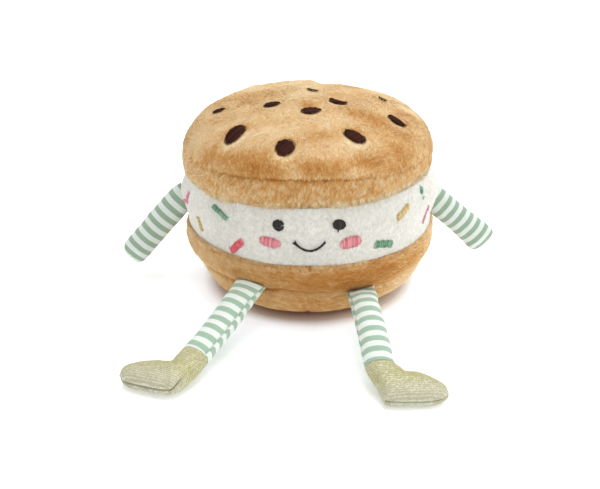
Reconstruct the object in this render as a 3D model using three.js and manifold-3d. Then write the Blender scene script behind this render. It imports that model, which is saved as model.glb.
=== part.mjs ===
// A plush ice cream sandwich toy: two stuffed cookies with a white ice cream drum between them,
// an embroidered face, sprinkles and chocolate chips, striped cotton arms and legs, and knit feet.
// Millimetres, +Z up. The origin is the middle of the toy's flat underside and the face looks along -Y.

import * as THREE from 'three';
import { mergeVertices } from 'three/addons/utils/BufferGeometryUtils.js';
import Module from 'manifold-3d';

const wasm = await Module();
wasm.setup();

// ---- driving dimensions -------------------------------------------------------------------------

const GAP = 0.3;                   // clearance kept between pieces that touch
const TURN_SIDES = 64;             // facets round the body
const TUBE_POWER = 0.92;           // below 1, an arm's or a leg's section is squarer than an oval

const BASE_RADIUS = 41;            // flat spot that the toy sits on
const LOW_SEAM = { radius: 70, z: 23 };
const LOW_BULGE = { radius: 75.3, z: 32.5 };
const BAND_BOTTOM = { radius: 72.9, z: 41.4 };
const BAND_TOP = { radius: 71.2, z: 75 };
const BAND_SWELL = 1.1;            // how far the drum bellies out between its seams
const TOP_BULGE = { radius: 73.8, z: 80.4 };
const TOP_SEAM_Z = 90;
const DOME_HEIGHT = 35.9;          // above the widest line of the top cookie
const DOME_POWERS = { height: 2.67, radius: 2.03 };
const SEAM_GROOVE = { depth: 0.9, half: 1.3 };

const TOP_SHIFT = -1.5;            // the top cookie sits a little to the left
const TOP_ROLL = 0.023;            // and a little higher on the right, as a slope

const SHOULDERS = [                // the drum is drawn outwards where the arms are sewn in
  { bearing: -92, reach: 3.6 },
  { bearing: 92, reach: 5.2 },
];
const SHOULDER_SPREAD = 22;        // degrees
const SHOULDER_Z = { middle: 60, half: 13 };

// An arm's widths are taken at its root, middle and tip. Over the last stretch, the cap, it rounds in to a
// share of its width, and the slant moves that narrowing towards one side.
const ARM = { thick: 11, pinch: 2.6, tipPinch: 3.2, arch: 1.6 };
const ARMS = [
  {
    name: 'arm_left',
    root: [-71.2, 0, 58],
    tip: [-112, -1, 11.8],
    widths: [17.8, 16.8, 17.4],
    cap: { length: 8.5, share: 0.35, slant: -0.5 },
  },
  {
    name: 'arm_right',
    root: [70.4, 0, 54.2],
    tip: [110.8, 7, 18.2],
    widths: [18.2, 16.4, 20.6],
    cap: { length: 6.5, share: 0.5, slant: 0 },
  },
];

const LEG = { thick: 14.4, pinch: 3.6, ankleWidth: 15, ankleThick: 12, straight: 26 };
const LEGS = [                     // from inside the seam of the lower cookie to the ankle seen from above
  { name: 'leg_left', root: [-27.4, -53.4, 30.4], ankle: [-58.6, -110.4], width: 15.9, flare: 0.2 },
  { name: 'leg_right', root: [26.9, -57, 22.6], ankle: [33.5, -121.6], width: 15.1, flare: 0.1 },
];

const FOOT = { sole: 30.9, toe: 10.3, instep: 17.4, thick: 12 };
// heelRound is 0 for a sharp heel and 1 for a soft one, back is how full the leg's back stays above it, neck is
// down the leg and out from its front, bridge is forward of the leg's half width and a share of the instep.
const FEET = [
  {
    name: 'foot_left', side: -1, splay: 9, lean: 11, heel: [25.5, -4.5], heelRound: 0.8,
    back: 0.98, neck: [6.5, 0], bridge: [2.2, 0.99],
  },
  {
    name: 'foot_right', side: 1, splay: 3, lean: 20, heel: [20.6, -1], heelRound: 0.4,
    back: 0.58, neck: [2.6, 2], bridge: [4.5, 0.94],
  },
];

const STITCH = 0.9;                // height of the satin stitch above the plush
const CHIPS = [                    // place on the dome seen from above, long and short axis, direction
  { at: [-39.4, -40.4], size: [14.2, 9.8], turn: 45 },
  { at: [-12, -58.7], size: [10.8, 9.2], turn: 25 },
  { at: [24.4, -50.4], size: [11.9, 8], turn: 160 },
  { at: [1.6, -28.6], size: [10.8, 6], turn: 14 },
  { at: [-20, -16.2], size: [9.8, 5.2], turn: 22 },
  { at: [16.9, -14.6], size: [10.2, 5.6], turn: 160 },
  { at: [49.3, -24.9], size: [10.2, 6.2], turn: 155 },
  { at: [3, 9.9], size: [6.8, 2.8], turn: 12 },
  { at: [44.2, 6.6], size: [5, 2.2], turn: 4 },
  { at: [-51.6, -1.4], size: [7, 4.2], turn: 14 },
  { at: [-44, 51], size: [9.6, 7], turn: 20 },
  { at: [-23, 58], size: [10.2, 7.4], turn: 120 },
  { at: [6, 60], size: [10.6, 7.6], turn: 10 },
  { at: [33, 52], size: [9.6, 7], turn: 60 },
  { at: [54, 36], size: [10.4, 7.4], turn: 150 },
];

// Bearings are degrees round the drum from the face (-Y), positive towards +X.
const EYES = [
  { name: 'eye_left', bearing: -12.8, z: 65.1, size: [7.1, 5.7], turn: 0 },
  { name: 'eye_right', bearing: 12.4, z: 64.9, size: [6.7, 6.3], turn: 0 },
];
const CHEEKS = [
  { name: 'cheek_left', bearing: -16.7, z: 54.9, size: [11.4, 6.6], turn: -6 },
  { name: 'cheek_right', bearing: 17.1, z: 54.4, size: [11.8, 7.1], turn: 9 },
];
const SMILE = { from: -6.5, to: 6.2, top: 56.1, drop: 4.8, stroke: 1.2 };
const SPRINKLES = [                // bearing, height, length, width, lean of the bar
  { bearing: -41.4, z: 65.6, size: [12.6, 3.4], turn: -25 },
  { bearing: -32.9, z: 48.4, size: [12.6, 3.9], turn: 44 },
  { bearing: -57.6, z: 51.9, size: [8.6, 3.4], turn: -66 },
  { bearing: -69.4, z: 62, size: [8.4, 1.7], turn: 76 },
  { bearing: -72.6, z: 58, size: [6, 1.2], turn: 4 },
  { bearing: 44.6, z: 63.4, size: [11.6, 3.6], turn: 22 },
  { bearing: 32.6, z: 49.4, size: [11.8, 4.2], turn: -12 },
  { bearing: 61.2, z: 68.9, size: [4.4, 2.6], turn: 70 },
  { bearing: 61.4, z: 64.6, size: [1.4, 1.2], turn: 0 },
  { bearing: 63.5, z: 54, size: [10.4, 1.2], turn: 46 },
  { bearing: 112, z: 66.5, size: [11, 3.6], turn: 30 },
  { bearing: 124, z: 51.5, size: [10.4, 3.6], turn: -48 },
  { bearing: 142, z: 62, size: [11.4, 4.2], turn: 62 },
  { bearing: 157, z: 48.6, size: [11.8, 3.4], turn: 8 },
  { bearing: 170, z: 66.2, size: [10.6, 3.6], turn: -34 },
  { bearing: -175, z: 52.8, size: [10.8, 3.8], turn: 51 },
  { bearing: -159, z: 64.4, size: [11.4, 4.4], turn: -70 },
  { bearing: -145, z: 49.8, size: [11, 4], turn: 24 },
  { bearing: -128, z: 62.6, size: [10.8, 3.6], turn: -40 },
  { bearing: -114, z: 50.2, size: [10.2, 3.6], turn: 68 },
];

// ---- finishes -----------------------------------------------------------------------------------

const finish = (color, roughness = 0.95, metalness = 0) =>
  new THREE.MeshStandardMaterial({ color, roughness, metalness });
const plushTan = finish(0xd9b787);
const plushWhite = finish(0xe6e4dc);
const stripedCotton = finish(0xbcd3c2);
const glitterKnit = finish(0xc9c6ac, 0.45, 0.4);
const chocolateThread = finish(0x3e2726, 0.7);
const blackThread = finish(0x373530, 0.7);
const pinkThread = finish(0xe08a92, 0.7);

// ---- small helpers ------------------------------------------------------------------------------

const radians = THREE.MathUtils.degToRad;
const smooth = (t) => THREE.MathUtils.smoothstep(t, 0, 1);
const power = (value, exponent) => Math.sign(value) * Math.abs(value) ** exponent;

// The stack above the lower cookie leans and shifts a little, more with height up to the top cookie.
function settle([x, y, z]) {
  const share = THREE.MathUtils.clamp((z - BAND_BOTTOM.z) / (BAND_TOP.z - BAND_BOTTOM.z), 0, 1);
  return [x + TOP_SHIFT * share, y, z + TOP_ROLL * x * share];
}

// Position-only copy of a geometry with its shared corners merged and its flat triangles dropped.
function welded(geometry) {
  const bare = new THREE.BufferGeometry();
  bare.setAttribute('position', geometry.getAttribute('position').clone());
  if (geometry.index) {
    bare.setIndex(geometry.index.clone());
  }
  const merged = mergeVertices(bare, 1e-4);
  const kept = [];
  const corners = merged.index.array;
  for (let i = 0; i < corners.length; i += 3) {
    const [a, b, c] = corners.slice(i, i + 3);
    if (a !== b && b !== c && c !== a) {
      kept.push(a, b, c);
    }
  }
  merged.setIndex(kept);
  return merged;
}

function moved(geometry, map) {
  const places = geometry.getAttribute('position');
  for (let i = 0; i < places.count; i += 1) {
    places.setXYZ(i, ...map([places.getX(i), places.getY(i), places.getZ(i)]));
  }
  return geometry;
}

function toSolid(geometry) {
  const clean = welded(geometry);
  return new wasm.Manifold(new wasm.Mesh({
    numProp: 3,
    vertProperties: new Float32Array(clean.getAttribute('position').array),
    triVerts: new Uint32Array(clean.index.array),
  }));
}

function toGeometry(solid) {
  const mesh = solid.getMesh();
  const geometry = new THREE.BufferGeometry();
  geometry.setAttribute('position', new THREE.BufferAttribute(mesh.vertProperties, 3));
  geometry.setIndex(new THREE.BufferAttribute(mesh.triVerts, 1));
  return geometry;
}

// A closed skin over equal rings of points, with a flat fan at each end.
function loft(rings) {
  const sides = rings[0].length;
  const middle = (ring) => [0, 1, 2].map((axis) => ring.reduce((sum, p) => sum + p[axis], 0) / sides);
  const points = [...rings.flat(), middle(rings[0]), middle(rings.at(-1))];
  const faces = [];
  for (let row = 0; row + 1 < rings.length; row += 1) {
    for (let k = 0; k < sides; k += 1) {
      const here = row * sides + k;
      const next = row * sides + (k + 1) % sides;
      faces.push(here, next, next + sides, here, next + sides, here + sides);
    }
  }
  const last = (rings.length - 1) * sides;
  for (let k = 0; k < sides; k += 1) {
    const next = (k + 1) % sides;
    faces.push(points.length - 2, next, k, points.length - 1, last + k, last + next);
  }
  const geometry = new THREE.BufferGeometry();
  geometry.setAttribute('position', new THREE.Float32BufferAttribute(points.flat(), 3));
  geometry.setIndex(faces);
  return geometry;
}

// A profile of [radius, height] pairs turned about +Z. It runs from the axis, up the outside, to the axis.
function turned(profile) {
  const outline = profile.map(([radius, z]) => new THREE.Vector2(radius, z));
  return new THREE.LatheGeometry(outline, TURN_SIDES).rotateX(Math.PI / 2);
}

// ---- the three layers of the body ---------------------------------------------------------------

const arcSteps = (count) => Array.from({ length: count + 1 }, (_, k) => k / count);

// A shallow groove where two panels are sewn together.
function seam(radius, z) {
  const { depth, half } = SEAM_GROOVE;
  return [[radius, z - half], [radius - depth, z], [radius, z + half]];
}

function lowerCookie(grow = 0) {
  const underside = arcSteps(6).slice(1, -1).map((t) => {
    const angle = t * Math.PI / 2;
    const reach = BASE_RADIUS + (LOW_SEAM.radius - BASE_RADIUS) * Math.sin(angle);
    return [reach, LOW_SEAM.z * (1 - Math.cos(angle))];
  });
  const rise = LOW_BULGE.z - LOW_SEAM.z;
  const lip = LOW_BULGE.radius - LOW_SEAM.radius;
  const belly = [0.35, 0.6, 0.8, 1].map((t) => [
    LOW_SEAM.radius + lip * Math.sin(t * Math.PI / 2),
    LOW_SEAM.z + rise * t,
  ]);
  const top = BAND_BOTTOM.z - GAP / 2;
  return turned([
    [0, -grow],
    [BASE_RADIUS, -grow],
    ...[...underside, ...seam(LOW_SEAM.radius, LOW_SEAM.z), ...belly].map(([r, z]) => [r + grow, z]),
    [LOW_BULGE.radius - 0.5 + grow, 37.6],
    [BAND_BOTTOM.radius + grow, top + grow],
    [0, top + grow],
  ]);
}

// Radius of the drum at a height and a bearing, with the pull of the arms in it.
function drumRadius(z, bearing) {
  const share = THREE.MathUtils.clamp((z - BAND_BOTTOM.z) / (BAND_TOP.z - BAND_BOTTOM.z), 0, 1);
  const straight = THREE.MathUtils.lerp(BAND_BOTTOM.radius, BAND_TOP.radius, share ** 1.6);
  let radius = straight + BAND_SWELL * Math.sin(Math.PI * share);
  for (const { bearing: middle, reach } of SHOULDERS) {
    const away = THREE.MathUtils.euclideanModulo(bearing - middle + 180, 360) - 180;
    const along = Math.exp(-((away / SHOULDER_SPREAD) ** 2));
    const up = smooth(1 - Math.abs(z - SHOULDER_Z.middle) / SHOULDER_Z.half);
    radius += reach * along * up;
  }
  return radius;
}

function drumPoint(bearing, z, lift) {
  const radius = drumRadius(z, bearing) + lift;
  const angle = radians(bearing);
  return [radius * Math.sin(angle), -radius * Math.cos(angle), z];
}

function drum(grow = 0) {
  const low = BAND_BOTTOM.z + GAP / 2;
  const high = BAND_TOP.z - GAP / 2;
  const heights = arcSteps(9).map((t) => THREE.MathUtils.lerp(low, high, t));
  const sides = Array.from({ length: TURN_SIDES }, (_, k) => 360 * k / TURN_SIDES);
  return loft(heights.map((z) => sides.map((bearing) => drumPoint(bearing, z, grow))));
}

function domeHeight(radius) {
  const inward = 1 - (Math.min(radius, TOP_BULGE.radius) / TOP_BULGE.radius) ** DOME_POWERS.radius;
  return TOP_BULGE.z + DOME_HEIGHT * inward ** (1 / DOME_POWERS.height);
}

function domeRadius(z) {
  const up = Math.max((z - TOP_BULGE.z) / DOME_HEIGHT, 0);
  return TOP_BULGE.radius * (1 - up ** DOME_POWERS.height) ** (1 / DOME_POWERS.radius);
}

function upperCookie() {
  const base = BAND_TOP.z + GAP / 2;
  const lipDepth = TOP_BULGE.z - base;
  const lip = [0, 0.3, 0.65, 1].map((t) => [
    BAND_TOP.radius + (TOP_BULGE.radius - BAND_TOP.radius) * Math.sin(t * Math.PI / 2),
    base + lipDepth * (1 - Math.cos(t * Math.PI / 2)),
  ]);
  const shoulder = [94, 98, 102, 105.5].map((z) => [domeRadius(z), z]);
  const crown = [50, 42, 33, 22, 11].map((radius) => [radius, domeHeight(radius)]);
  return turned([
    [0, base],
    ...lip,
    [domeRadius(85), 85],
    ...seam(domeRadius(TOP_SEAM_Z), TOP_SEAM_Z),
    ...shoulder,
    ...crown,
    [0, domeHeight(0)],
  ]);
}

// ---- embroidery ---------------------------------------------------------------------------------

// A flat disc or bar laid on a surface: onSurface(u, v, lift) gives the place of a point of it.
function stitchedOval([long, short], turn, onSurface) {
  const steps = 14;
  const tilt = radians(turn);
  const ring = (share, lift) => Array.from({ length: steps }, (_, k) => {
    const angle = 2 * Math.PI * k / steps;
    const a = share * long / 2 * Math.cos(angle);
    const b = share * short / 2 * Math.sin(angle);
    return onSurface(a * Math.cos(tilt) - b * Math.sin(tilt), a * Math.sin(tilt) + b * Math.cos(tilt), lift);
  });
  return loft([ring(0.5, GAP), ring(1, GAP), ring(1, GAP + STITCH / 2), ring(0.8, GAP + STITCH)]);
}

function onDome([x, y]) {
  return (u, v, lift) => {
    const px = x + u;
    const py = y + v;
    const slope = (domeHeight(Math.hypot(px, py) + 0.1) - domeHeight(Math.hypot(px, py))) / 0.1;
    const steep = Math.hypot(1, slope);
    const outward = -slope / steep * lift / Math.max(Math.hypot(px, py), 1e-6);
    const z = domeHeight(Math.hypot(px, py)) + lift / steep;
    return settle([px * (1 + outward), py * (1 + outward), z]);
  };
}

function onDrum(bearing, z) {
  return (u, v, lift) => {
    const turn = THREE.MathUtils.radToDeg(u / drumRadius(z, bearing));
    return settle(drumPoint(bearing + turn, z + v, lift));
  };
}

// A straight bar of satin stitch whose root is sunk into the drum, so that it fuses with it.
function sprinkleBar({ bearing, z, size: [length, width], turn }) {
  const place = onDrum(bearing, z);
  const tilt = radians(turn);
  const at = (a, b, lift) => place(
    a * Math.cos(tilt) - b * Math.sin(tilt),
    a * Math.sin(tilt) + b * Math.cos(tilt),
    lift,
  );
  const rows = [-0.5, -0.17, 0.17, 0.5].map((share) => share * length);
  return loft(rows.map((a) => [
    at(a, -width / 2, -1.5),
    at(a, width / 2, -1.5),
    at(a, width / 2, STITCH * 0.8),
    at(a, -width / 2, STITCH * 0.8),
  ]));
}

// The smile is a thin band of stitching along a hanging curve, a little thicker where it starts.
function smileBand() {
  const steps = 16;
  const rings = arcSteps(steps).map((t) => {
    const across = 2 * t - 1;
    const bearing = THREE.MathUtils.lerp(SMILE.from, SMILE.to, t);
    const z = SMILE.top - SMILE.drop * (1 - across ** 2);
    const slope = Math.atan(2 * SMILE.drop * across / (0.5 * (SMILE.to - SMILE.from) * 1.28));
    const half = SMILE.stroke / 2 * (1 + 0.35 * smooth(1 - 5 * t));
    const place = onDrum(bearing, z);
    const side = (sign, lift) => place(-sign * half * Math.sin(slope), sign * half * Math.cos(slope), lift);
    return [side(1, GAP), side(1, GAP + STITCH), side(-1, GAP + STITCH), side(-1, GAP)];
  });
  return loft(rings);
}

// ---- arms, legs and feet ------------------------------------------------------------------------

// Sections of a stuffed tube along a path; profile(t) gives each one's width and thickness, and how far it
// is moved aside.
function stuffedTube({ path, across, steps, profile }) {
  const sides = 16;
  const rings = steps.map((t) => {
    const centre = path.getPoint(t);
    const along = path.getTangent(t);
    const wide = across.clone().addScaledVector(along, -across.dot(along)).normalize();
    const thick = new THREE.Vector3().crossVectors(along, wide);
    const { width, depth, aside = 0 } = profile(t);
    return Array.from({ length: sides }, (_, k) => {
      const angle = 2 * Math.PI * k / sides;
      const point = centre.clone()
        .addScaledVector(wide, aside + width / 2 * power(Math.cos(angle), TUBE_POWER))
        .addScaledVector(thick, depth / 2 * power(Math.sin(angle), TUBE_POWER));
      return point.toArray();
    });
  });
  return loft(rings);
}

const swell = (t, flat, full) => THREE.MathUtils.lerp(flat, full, Math.sin(Math.min(Math.max(t, 0), 1) * Math.PI / 2));

function arm({ root, tip, widths, cap }) {
  const start = new THREE.Vector3(...root);
  const end = new THREE.Vector3(...tip);
  const middle = start.clone().lerp(end, 0.5).add(new THREE.Vector3(0, 0, ARM.arch));
  const path = new THREE.QuadraticBezierCurve3(start, middle, end);
  const across = new THREE.Vector3(end.z - start.z, 0, start.x - end.x);
  const length = start.distanceTo(end);
  const [first, half, last] = widths;
  const profile = (t) => {
    const full = (1 - t) * (1 - 2 * t) * first + 4 * t * (1 - t) * half + t * (2 * t - 1) * last;
    const into = Math.min((1 - t) * length / cap.length, 1);
    const width = full * THREE.MathUtils.lerp(cap.share, 1, Math.sqrt(into * (2 - into)));
    return {
      width,
      depth: Math.min(swell(t / 0.3, ARM.pinch, ARM.thick), swell((1 - t) / 0.16, ARM.tipPinch, ARM.thick)),
      aside: cap.slant * (full - width) / 2,
    };
  };
  const steps = [0, 0.08, 0.16, 0.3, 0.5, 0.7, 0.82, 0.88, 0.92, 0.95, 0.975, 0.99, 1];
  return stuffedTube({ path, across, steps, profile });
}

// The leg arrives at the ankle in the direction that the foot carries on in.
function footHeading({ root, ankle }, lean) {
  const along = new THREE.Vector3(ankle[0] - root[0], ankle[1] - root[1], 0).normalize();
  const across = new THREE.Vector3(0, 0, 1).cross(along);
  const slope = radians(lean);
  const down = along.multiplyScalar(Math.cos(slope)).add(new THREE.Vector3(0, 0, -Math.sin(slope)));
  return { down, across, face: new THREE.Vector3().crossVectors(down, across) };
}

function leg({ root, ankle, width, flare }, ankleHeight, { down, across }) {
  const end = new THREE.Vector3(...ankle, ankleHeight);
  const bend = end.clone().addScaledVector(down, -LEG.straight);
  const path = new THREE.QuadraticBezierCurve3(new THREE.Vector3(...root), bend, end);
  const profile = (t) => ({
    width: THREE.MathUtils.lerp(width, LEG.ankleWidth, smooth(t)) * (1 + flare * (1 - smooth((t - 0.1) / 0.2))),
    depth: swell((t - 0.1) / 0.28, LEG.pinch, THREE.MathUtils.lerp(LEG.thick, LEG.ankleThick, t)),
  });
  const steps = [0, 0.1, 0.14, 0.2, 0.28, 0.4, 0.6, 0.8, 1];
  return stuffedTube({ path, across, steps, profile });
}

// The sock-shaped foot lies on its side. In its own plane a runs down the leg and b towards the toe; the
// sole side and the instep side are two curves from the ankle to the toe, and each section joins them.
function footSides({ side, splay, heel, heelRound, back, neck, bridge }) {
  const turn = radians(splay);
  const half = LEG.ankleWidth / 2;
  const fromHeel = (forward, up) => [
    heel[0] + forward * Math.sin(turn) - up * Math.cos(turn),
    heel[1] + forward * Math.cos(turn) + up * Math.sin(turn),
  ];
  const curve = (spots) => new THREE.SplineCurve(spots.map(([a, b]) => new THREE.Vector2(a, side * b)));
  const sole = curve([
    [GAP, -half],
    [9, -half * back],
    fromHeel(-2.2 * heelRound, 4.5 * heelRound),
    fromHeel(4 * heelRound, 0),
    fromHeel(FOOT.sole * 0.52, -0.5),
    fromHeel(FOOT.sole * 0.84, 0.3),
    fromHeel(FOOT.sole * 0.97, FOOT.toe * 0.24),
    fromHeel(FOOT.sole, FOOT.toe * 0.42),
  ]);
  const instep = curve([
    [GAP, half],
    [neck[0], half + neck[1]],
    fromHeel(half + bridge[0], FOOT.instep * bridge[1]),
    fromHeel(FOOT.sole * 0.58, FOOT.instep * 0.91),
    fromHeel(FOOT.sole * 0.74, FOOT.instep * 0.78),
    fromHeel(FOOT.sole * 0.88, FOOT.toe),
    fromHeel(FOOT.sole * 0.97, FOOT.toe * 0.78),
    fromHeel(FOOT.sole, FOOT.toe * 0.56),
  ]);
  return { sole, instep };
}

// Built with its ankle at height 0.
function foot(spec, { ankle }, { down, across, face }) {
  const { sole, instep } = footSides(spec);
  const sides = 16;
  const steps = [0, 0.1, 0.2, 0.3, 0.4, 0.5, 0.6, 0.7, 0.8, 0.88, 0.94, 0.98, 1];
  const rings = steps.map((t) => {
    const low = sole.getPoint(t);
    const high = instep.getPoint(t);
    const centre = low.clone().add(high).multiplyScalar(0.5);
    const reach = high.clone().sub(low).multiplyScalar(0.5 * spec.side);
    const depth = Math.min(
      THREE.MathUtils.lerp(LEG.ankleThick, FOOT.thick, smooth(2 * t)),
      swell((1.02 - t) / 0.4, 1.5, FOOT.thick),
    );
    return Array.from({ length: sides }, (_, k) => {
      const angle = 2 * Math.PI * k / sides;
      const flat = centre.clone().addScaledVector(reach, power(Math.cos(angle), 0.85));
      return new THREE.Vector3(...ankle, 0)
        .addScaledVector(down, flat.x)
        .addScaledVector(across, flat.y)
        .addScaledVector(face, depth / 2 * power(Math.sin(angle), 0.85))
        .toArray();
    });
  });
  return loft(rings);
}

// ---- assembly -----------------------------------------------------------------------------------

const toy = new THREE.Group();

function add(name, geometry, material) {
  const mesh = new THREE.Mesh(geometry, material);
  mesh.name = name;
  toy.add(mesh);
}

const lower = toSolid(lowerCookie());
const band = SPRINKLES.reduce(
  (joined, bar) => joined.add(toSolid(sprinkleBar(bar))),
  toSolid(moved(drum(), settle)),
);
add('cookie_bottom', toGeometry(lower), plushTan);
add('ice_cream_band', toGeometry(band), plushWhite);
add('cookie_top', toGeometry(toSolid(moved(upperCookie(), settle))), plushTan);

const drumClearance = toSolid(moved(drum(GAP), settle));
const cookieClearance = toSolid(lowerCookie(GAP));
for (const limb of ARMS) {
  add(limb.name, toGeometry(toSolid(arm(limb)).subtract(drumClearance)), stripedCotton);
}
LEGS.forEach((limb, k) => {
  const heading = footHeading(limb, FEET[k].lean);
  const sock = foot(FEET[k], limb, heading);
  sock.computeBoundingBox();
  const ankleHeight = -sock.boundingBox.min.z;
  const tube = toSolid(leg(limb, ankleHeight, heading)).subtract(cookieClearance);
  add(limb.name, toGeometry(tube), stripedCotton);
  add(FEET[k].name, sock.translate(0, 0, ankleHeight), glitterKnit);
});

CHIPS.forEach(({ at, size, turn }, k) => {
  const name = `chip_${String(k + 1).padStart(2, '0')}`;
  add(name, stitchedOval(size, turn, onDome(at)), chocolateThread);
});
for (const { name, bearing, z, size, turn } of EYES) {
  add(name, stitchedOval(size, turn, onDrum(bearing, z)), blackThread);
}
for (const { name, bearing, z, size, turn } of CHEEKS) {
  add(name, stitchedOval(size, turn, onDrum(bearing, z)), pinkThread);
}
add('smile', smileBand(), blackThread);

export default toy;
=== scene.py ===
import math

import bpy
import numpy as np
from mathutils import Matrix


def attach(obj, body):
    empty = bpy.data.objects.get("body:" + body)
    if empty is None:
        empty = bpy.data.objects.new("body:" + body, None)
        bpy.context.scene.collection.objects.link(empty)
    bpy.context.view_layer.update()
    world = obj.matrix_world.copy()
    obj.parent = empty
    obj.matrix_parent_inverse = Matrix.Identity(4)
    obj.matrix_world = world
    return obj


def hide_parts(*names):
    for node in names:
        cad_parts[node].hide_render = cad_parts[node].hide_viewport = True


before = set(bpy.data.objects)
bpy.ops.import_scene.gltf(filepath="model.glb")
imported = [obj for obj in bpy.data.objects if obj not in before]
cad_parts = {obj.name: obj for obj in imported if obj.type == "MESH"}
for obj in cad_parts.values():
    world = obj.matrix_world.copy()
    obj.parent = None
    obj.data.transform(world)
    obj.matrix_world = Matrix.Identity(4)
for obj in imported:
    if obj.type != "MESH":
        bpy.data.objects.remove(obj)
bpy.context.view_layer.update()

# ==== Studio ======================================================================================
# A camera looking slightly down at the toy, a plain pale floor that fades to white, a broad soft
# light above and in front, and a white room that fills the shadows. Lengths below are millimetres
# unless a name says otherwise; meshes are written in metres.
# The paper round the toy glows: painted light that lifts the toy's shadows off the floor.

MM = 0.001
CAMERA_PLACE = (-5.84, -450.0, 236.4)
CAMERA_DOWN = 25.71            # degrees below level
CAMERA_LENS = 48.08            # on a sensor 36 wide
FLOOR_HALF = 4000.0
ROOM_WHITE = 0.64
FLOOR_GLOW = [                 # metres from the toy's middle, and the painted light that the paper gives off there to lift the toy's shadows
    (0.058, (0.02, 0.0, 0.0, 1)), (0.067, (0.42, 0.48, 0.55, 1)), (0.085, (0.27, 0.32, 0.37, 1)),
    (0.105, (0.17, 0.18, 0.19, 1)), (0.145, (0.28, 0.30, 0.31, 1)),
]
SIDE_GLOW = [(0.095, (0, 0, 0, 1)), (0.110, (0.19, 0.20, 0.21, 1))]      # more of it farther out
SIDE_GLOW_SKEW = 0.5                                                     # and sooner behind the toy
PAINTED_CONTACT_SHADOW = [(0.046, (0.5, 0.4, 0.3, 1)), (0.062, (1, 1, 1, 1))]           # painted tan shadow right under the toy


def linear(red, green, blue):
    """A screen colour (0 to 255) as the linear colour that materials take."""
    share = np.array([red, green, blue]) / 255
    value = np.where(share <= 0.04045, share / 12.92, ((share + 0.055) / 1.055) ** 2.4)
    return (*map(float, value), 1.0)


class Wire:
    """One output of a material's node. Arithmetic with it adds Math nodes to the same material."""

    def __init__(self, finish, socket):
        self.finish = finish
        self.socket = socket

    def math(self, operation, *values):
        return self.finish.node("ShaderNodeMath", {"operation": operation}, dict(enumerate(values)))

    def __add__(self, other):
        return self.math("ADD", self, other)

    def __sub__(self, other):
        return self.math("SUBTRACT", self, other)

    def __rsub__(self, other):
        return self.math("SUBTRACT", other, self)

    def __mul__(self, other):
        return self.math("MULTIPLY", self, other)

    __radd__ = __add__


class Finish:
    """A material. Its constants are set on the Principled shader's own sockets, and node() adds the rest."""

    def __init__(self, name, **constants):
        self.material = bpy.data.materials.new(name)
        self.material.use_nodes = True
        self.tree = self.material.node_tree
        self.shader = self.tree.nodes["Principled BSDF"]
        for socket, value in constants.items():
            self.shader.inputs[socket.replace("_", " ")].default_value = value

    def feed(self, socket, value):
        if isinstance(value, Wire):
            self.tree.links.new(value.socket, socket)
        else:
            socket.default_value = value

    def node(self, kind, settings=None, sockets=None, out=0):
        """Adds a node, sets it, then feeds its sockets; a ramp's stops are (position, colour) pairs."""
        node = self.tree.nodes.new(kind)
        for key, value in (settings or {}).items():
            if key == "stops":
                stops = node.color_ramp.elements
                while len(stops) < len(value):
                    stops.new(0.5)
                for stop, (position, colour) in zip(stops, value):
                    stop.position, stop.color = position, colour
            else:
                setattr(node, key, value)
        for key, value in (sockets or {}).items():
            self.feed(node.inputs[key], value)
        return Wire(self, node.outputs[out])

    def attribute(self, name):
        return self.node("ShaderNodeAttribute", {"attribute_name": name}, out="Fac")

    def noise(self, scale, detail=2.0):
        sockets = {"Scale": scale, "Detail": detail, "Vector": self.place()}
        return self.node("ShaderNodeTexNoise", None, sockets, out="Fac")

    def place(self):
        return self.node("ShaderNodeTexCoord", None, None, out="Object")

    def ramp(self, value, stops):
        return self.node("ShaderNodeValToRGB", {"stops": stops}, {"Fac": value}, out="Color")

    def mix(self, share, first, second, how="MIX"):
        settings = {"data_type": "RGBA", "blend_type": how}
        return self.node("ShaderNodeMix", settings, {0: share, 6: first, 7: second}, out=2)

    def bump(self, height, distance, strength=0.5):
        sockets = {"Height": height, "Distance": distance, "Strength": strength}
        self.drive(Normal=self.node("ShaderNodeBump", None, sockets, out="Normal"))

    def drive(self, **wires):
        for socket, value in wires.items():
            self.feed(self.shader.inputs[socket.replace("_", " ")], value)


def softbox(name, place, aim, size, watts):
    """A square area light at one place, turned to face another."""
    lamp = bpy.data.lights.new(name, "AREA")
    lamp.shape = "SQUARE"
    lamp.size = size * MM
    lamp.energy = watts
    light = bpy.data.objects.new(name, lamp)
    ray = np.array(aim, float) - np.array(place, float)
    light.location = [v * MM for v in place]
    pitch = math.atan2(math.hypot(ray[0], ray[1]), -ray[2])
    light.rotation_euler = (pitch, 0, math.atan2(-ray[0], ray[1]))
    bpy.context.scene.collection.objects.link(light)


camera_lens = bpy.data.cameras.new("camera")
camera_lens.lens = CAMERA_LENS
camera_lens.sensor_width = 36
camera = bpy.data.objects.new("camera", camera_lens)
camera.location = [v * MM for v in CAMERA_PLACE]
camera.rotation_euler = (math.radians(90 - CAMERA_DOWN), 0, 0)
bpy.context.scene.collection.objects.link(camera)
bpy.context.scene.camera = camera
bpy.context.scene.view_settings.view_transform = "Standard"

room = bpy.data.worlds.new("white_room")
room.use_nodes = True
background = room.node_tree.nodes["Background"].inputs
background["Color"].default_value = (1.0, 1.0, 1.0, 1.0)
background["Strength"].default_value = ROOM_WHITE
bpy.context.scene.world = room

softbox("softbox_above", (300, 250, 3000), aim=(0, 0, 40), size=2400, watts=62)
softbox("softbox_right", (950, -420, 650), aim=(0, 0, 60), size=600, watts=2.6)

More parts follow.
